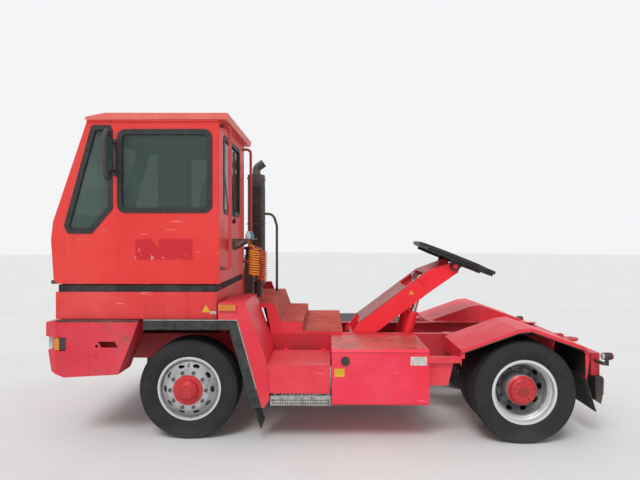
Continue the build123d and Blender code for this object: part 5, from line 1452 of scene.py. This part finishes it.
bumperLook = {
    "plate": ((2.7255, -0.26, 1.005), (2.7278, 0.26, 1.085)),
    # both ends and the radius
    "sideBolt": ((2.30, 1.2490, 1.105), (2.30, 1.2535, 1.105), 0.010),
    "sideStep": (0.20, 0, 0),
    "sideCount": 2,
    "topBolt": ((2.560, -1.10, 1.1335), (2.560, -1.10, 1.139), 0.012),
    "topStep": (0, 0.314, 0),
    "topCount": 8,
}
fuse("blankFrontPlate", [block(*bumperLook["plate"], 0.0008)], plain["blankWhite"], "chassis", False)
sideBolts = rod(*bumperLook["sideBolt"], 12)
repeat(sideBolts, bumperLook["sideCount"], bumperLook["sideStep"])
topBolts = rod(*bumperLook["topBolt"], 6)
repeat(topBolts, bumperLook["topCount"], bumperLook["topStep"])
fuse("bumperBolts", [sideBolts, topBolts], bumperPaint, "chassis", False)

# tank cap, lid edge with its bolts, the battery box's clips and the air tanks' drains
tankLook = {
    "cap": ((-0.072, 1.262, 0.761), (-0.072, 1.2655, 0.761), 0.026),
    "capGrip": ((-0.082, 1.2635, 0.752), (-0.062, 1.2680, 0.770)),
    "lidEdge": ((-0.838, 1.2485, 0.8335), (0.050, 1.2520, 0.8375)),
    "lidBoltX": (-0.80, -0.42, -0.04),
    "lidBoltY": (0.62, 1.16),
    "lidBoltZ": (0.8635, 0.869),
    "lidBoltRadius": 0.013,
}
capBits = [rod(*tankLook["cap"], 24, 0.001), block(*tankLook["capGrip"], 0.002)]
fuse("tankCapGrip", capBits, plain["softPlastic"], "chassis")
lidBits = [block(*tankLook["lidEdge"], 0.001)]
for x in tankLook["lidBoltX"]:
    for y in tankLook["lidBoltY"]:
        lidBits.append(pegZ(x, y, *tankLook["lidBoltZ"], tankLook["lidBoltRadius"], 6))
fuse("tankLidEdge", lidBits, tankPaint, "chassis")

boxLook = {
    "clipX": (-0.62, -0.18),
    "clipLong": 0.05,
    "clipY": (-1.256, -1.249),
    "clipZ": (0.74, 0.83),
    "buttonY": (-1.2565, -1.262),
    "buttonZ": 0.752,
    "buttonRadius": 0.012,
    "lidEdge": ((-0.838, -1.2525, 0.700), (0.050, -1.2490, 0.706)),
    "airTankY": (-0.62, -0.93),
    "drainX": 0.345,
    "drainZ": (0.476, 0.455),
    "drainRadius": 0.010,
    "plugX": (0.13, 0.56),
    "plugZ": (0.722, 0.742),
    "plugRadius": 0.013,
}
clips = []
for x in boxLook["clipX"]:
    low, high = zip((x, x + boxLook["clipLong"]), boxLook["clipY"], boxLook["clipZ"])
    clips.append(block(low, high, 0.003))
    start, end = [(x + boxLook["clipLong"] / 2, y, boxLook["buttonZ"]) for y in boxLook["buttonY"]]
    clips.append(rod(start, end, boxLook["buttonRadius"], 12))
clips.append(block(*boxLook["lidEdge"], 0.001))
fuse("boxClips", clips, plain["blackMetal"], "chassis")
drains = []
for y in boxLook["airTankY"]:
    drains.append(pegZ(boxLook["drainX"], y, *boxLook["drainZ"], boxLook["drainRadius"], 12))
    for x in boxLook["plugX"]:
        drains.append(pegZ(x, y, *boxLook["plugZ"], boxLook["plugRadius"], 8))
fuse("airTankFittings", drains, plain["stepSteel"], "chassis")
print("tanks, hood and bumper dressed")

# mirrors: an oval glass at the back of each housing
mirrorLook = {
    "x": (2.0367, 2.0350),
    "y": 1.388,
    "z": 2.660,
    "middleX": 2.0362,
    "oval": (1.0, 0.066, 0.168),
    "silvers": ((0.50, 0.53, 0.55), (0.62, 0.65, 0.67)),
}
mirrorGlass = Finish("mirrorGlass", Roughness=0.06, Metallic=1.0)
mirrorGlass.feed(Base_Color=mirrorGlass.blend(mirrorGlass.cloud(3.0), *mirrorLook["silvers"]))
for sideName, way in bothSides:
    y, z = way * mirrorLook["y"], mirrorLook["z"]
    glass = rod(*[(x, y, z) for x in mirrorLook["x"]], 1.0, 40)
    editAll(glass)
    bpy.ops.transform.resize(value=mirrorLook["oval"], center_override=(mirrorLook["middleX"], y, z))
    bpy.ops.object.mode_set(mode="OBJECT")
    fuse("mirrorGlass" + sideName, [glass], mirrorGlass.material, "cab")

# dashboard: hooded gauges, switches, levers and pedals
dashLook = {
    "hood": ((2.315, 0.27, 1.955), (2.420, 0.53, 2.035)),
    "gaugeX": (2.3160, 2.3120),
    "gaugeY": (0.325, 0.40, 0.475),
    "gaugeZ": 1.998,
    "gaugeRadius": 0.029,
    "switch": ((2.292, 0.62, 1.912), (2.302, 0.645, 1.935)),
    "switchCount": 7,
    "switchPitch": 0.040,
    "leverY": (0.06, 0.12, 0.18),
    "leverFoot": (2.02, 1.490),
    "leverTop": (1.985, 2.02),
    "leverRadius": 0.007,
    "knobLow": (1.987, 1.99),
    "knobTop": (1.982, 2.06),
    "knobRadius": 0.018,
    "leverBox": ((1.94, 0.01, 1.490), (2.10, 0.23, 1.56)),
    "pedalY": (0.46, 0.60),
    "pedalWide": 0.075,
    "pedalX": (2.30, 2.345),
    "pedalZ": (1.53, 1.60),
    "buckle": ((1.50, 0.135, 1.70), (1.535, 0.158, 1.86)),
    "anchor": ((1.78, 0.630, 1.56), (1.90, 0.650, 1.60)),
}
fuse("gaugeHood", [block(*dashLook["hood"], 0.016)], plain["softPlastic"], "cab")
gauges = [rod(*[(x, y, dashLook["gaugeZ"]) for x in dashLook["gaugeX"]], dashLook["gaugeRadius"], 24, 0.001)
          for y in dashLook["gaugeY"]]
fuse("gauges", gauges, plain["blankWhite"], "cab")
switches = block(*dashLook["switch"], 0.002)
repeat(switches, dashLook["switchCount"], (0, dashLook["switchPitch"], 0))
fuse("dashSwitches", [switches], plain["holeShadeAndSwitchDark"], "cab", False)
levers = []
for y in dashLook["leverY"]:
    foot, top, knobLow, knobTop = [(dashLook[key][0], y, dashLook[key][1])
                                   for key in ("leverFoot", "leverTop", "knobLow", "knobTop")]
    levers.append(rod(foot, top, dashLook["leverRadius"], 12))
    levers.append(rod(knobLow, knobTop, dashLook["knobRadius"], 16, 0.005))
levers.append(block(*dashLook["leverBox"], 0.01))
for y in dashLook["pedalY"]:
    low, high = zip(dashLook["pedalX"], (y, y + dashLook["pedalWide"]), dashLook["pedalZ"])
    levers.append(block(low, high, 0.008))
fuse("controlLevers", levers, plain["softPlastic"], "cab")
belts = [block(*dashLook["buckle"], 0.004), block(*dashLook["anchor"], 0.004)]
fuse("beltBuckle", belts, plain["softPlastic"], "cab")
print("cab inside dressed")

# the three curly leads behind the cab, each with its hose from the coupling
coilLook = {
    "couplingX": 0.905,
    "couplingZ": 1.8695,
    "perTurn": 12,
    "tail": 0.040,
    "fittingRadius": 0.013,
    "leads": {
        # x, y, coil's top and bottom, turns, wire radius, coil radius, the node it stands for
        "yellowCoil": (0.842, 0.640, 1.790, 1.460, 11, 0.0080, 0.060, "air_coil_yellow"),
        "redCoil": (0.776, 0.505, 1.760, 1.394, 13, 0.0072, 0.058, "air_coil_red"),
        "blackCoil": (0.832, 0.375, 1.450, 1.215, 11, 0.0085, 0.048, "electric_coil_black"),
    },
    "colours": {
        "yellowCoil": ((0.88, 0.33, 0.008), (0.62, 0.20, 0.010)),
        "redCoil": ((0.60, 0.060, 0.016), (0.66, 0.20, 0.035)),
        "blackCoil": ((0.016, 0.016, 0.017), (0.045, 0.042, 0.040)),
    },
}


def leadRoute(x, y, top, bottom, turns, wire, wide):
    exitX, exitZ = coilLook["couplingX"], coilLook["couplingZ"]
    reach = wide - wire - 0.002
    low = bottom + coilLook["tail"]
    points = [(exitX, y, exitZ), (exitX, y, exitZ - 0.03), (exitX - 0.003, y, exitZ - 0.055),
              (x + 0.010, y, top + 0.010), (x, y, top - 0.004)]
    perTurn = coilLook["perTurn"]
    count = turns * perTurn
    for index in range(count + 1):
        turn = index / perTurn * 2 * math.pi
        grow = min(1.0, index / perTurn * 2.0, (count - index) / perTurn * 2.0)
        spread = reach * (0.15 + 0.85 * grow)
        height = top - 0.012 + (low - top + 0.012) * index / count
        points.append((x + spread * math.cos(turn), y + spread * math.sin(turn), height))
    return points + [(x, y, low - 0.010), (x, y, low - 0.020)]


def leadFinish(name):
    f = Finish(name + "Skin", Roughness=0.35, Coat_Weight=0.3)
    f.feed(Base_Color=f.blend(f.patches((24.0, 5, 0.6, 0.4, 0.7)), *coilLook["colours"][name]))
    f.bumpy(f.cloud(160.0), 0.0004)
    return f.material


def curlyLead(name):
    x, y, top, bottom, turns, wire, wide, node = coilLook["leads"][name]
    points = leadRoute(x, y, top, bottom, turns, wire, wide)
    curve = bpy.data.curves.new(name, "CURVE")
    curve.dimensions = "3D"
    spline = curve.splines.new("NURBS")
    spline.points.add(len(points) - 1)
    for place, point in zip(spline.points, points):
        place.co = (*point, 1)
    spline.order_u = 3
    spline.use_endpoint_u = True
    spline.resolution_u = 2
    lead = bpy.data.objects.new(name, curve)
    bpy.context.scene.collection.objects.link(lead)
    bpy.context.view_layer.update()
    line = bpy.data.meshes.new_from_object(lead)  # the bare line, before it gets its thickness
    for edge in line.edges:
        start, end = [line.vertices[index].co for index in edge.vertices]
    curve.bevel_depth = wire
    curve.bevel_resolution = 2
    curve.materials.append(leadFinish(name))
    end = rod((x, y, bottom + coilLook["tail"] - 0.018), (x, y, bottom), coilLook["fittingRadius"], 20, 0.002)
    end = fuse(name + "Fitting", [end], plain["blackMetal"], "cab")
    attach(lead, "cab")
    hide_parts(node)


for coilName in coilLook["leads"]:
    curlyLead(coilName)

# padded cloth over the plain seat cushions
seatLook = {
    "cuts": 9,
    "round": 0.030,
    "voxel": 0.006,
    "quickVoxel": 0.02,
    "pressure": 4.0,
    "lastFrame": 20,
    "padding": 0.8,
    # low and high corner, lean
    "seatPad": ((1.452, 0.182, 1.840), (1.908, 0.618, 1.934), 0.0),
    "backPad": ((1.297, 0.187, 1.985), (1.373, 0.613, 2.530), math.radians(9)),
}


def puffUp(piece):
    cloth = piece.modifiers.new("pad", "CLOTH")
    cloth.settings.use_pressure = True
    cloth.settings.uniform_pressure_force = seatLook["pressure"]
    cloth.settings.effector_weights.gravity = 0.0
    cloth.settings.quality = 5
    cloth.point_cache.frame_start = 1
    cloth.point_cache.frame_end = seatLook["lastFrame"]
    for frameNumber in range(1, seatLook["lastFrame"] + 1):
        bpy.context.scene.frame_set(frameNumber)
    pick(piece)
    bpy.ops.object.modifier_apply(modifier="pad")
    bpy.context.scene.frame_set(1)
    modify(piece, "SUBSURF", levels=1)


def paddedPiece(name):
    low, high, lean = seatLook[name]
    piece = block(low, high)
    editAll(piece)
    bpy.ops.mesh.subdivide(number_cuts=seatLook["cuts"])
    bpy.ops.object.mode_set(mode="OBJECT")
    modify(piece, "BEVEL", width=seatLook["round"], segments=3, angle_limit=0.9)
    modify(piece, "REMESH", mode="VOXEL", voxel_size=seatLook["voxel"])
    if lean:
        editAll(piece)
        middle = tuple((a + b) / 2 for a, b in zip(low, high))
        bpy.ops.transform.rotate(value=lean, orient_axis="Y", center_override=middle)
        bpy.ops.object.mode_set(mode="OBJECT")
    puffUp(piece)
    fuse(name, [piece], plain["seatClothWoven"], "cab")
    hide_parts("seat_cushions")


paddedPiece("seatPad")
paddedPiece("backPad")
print("seat padded")
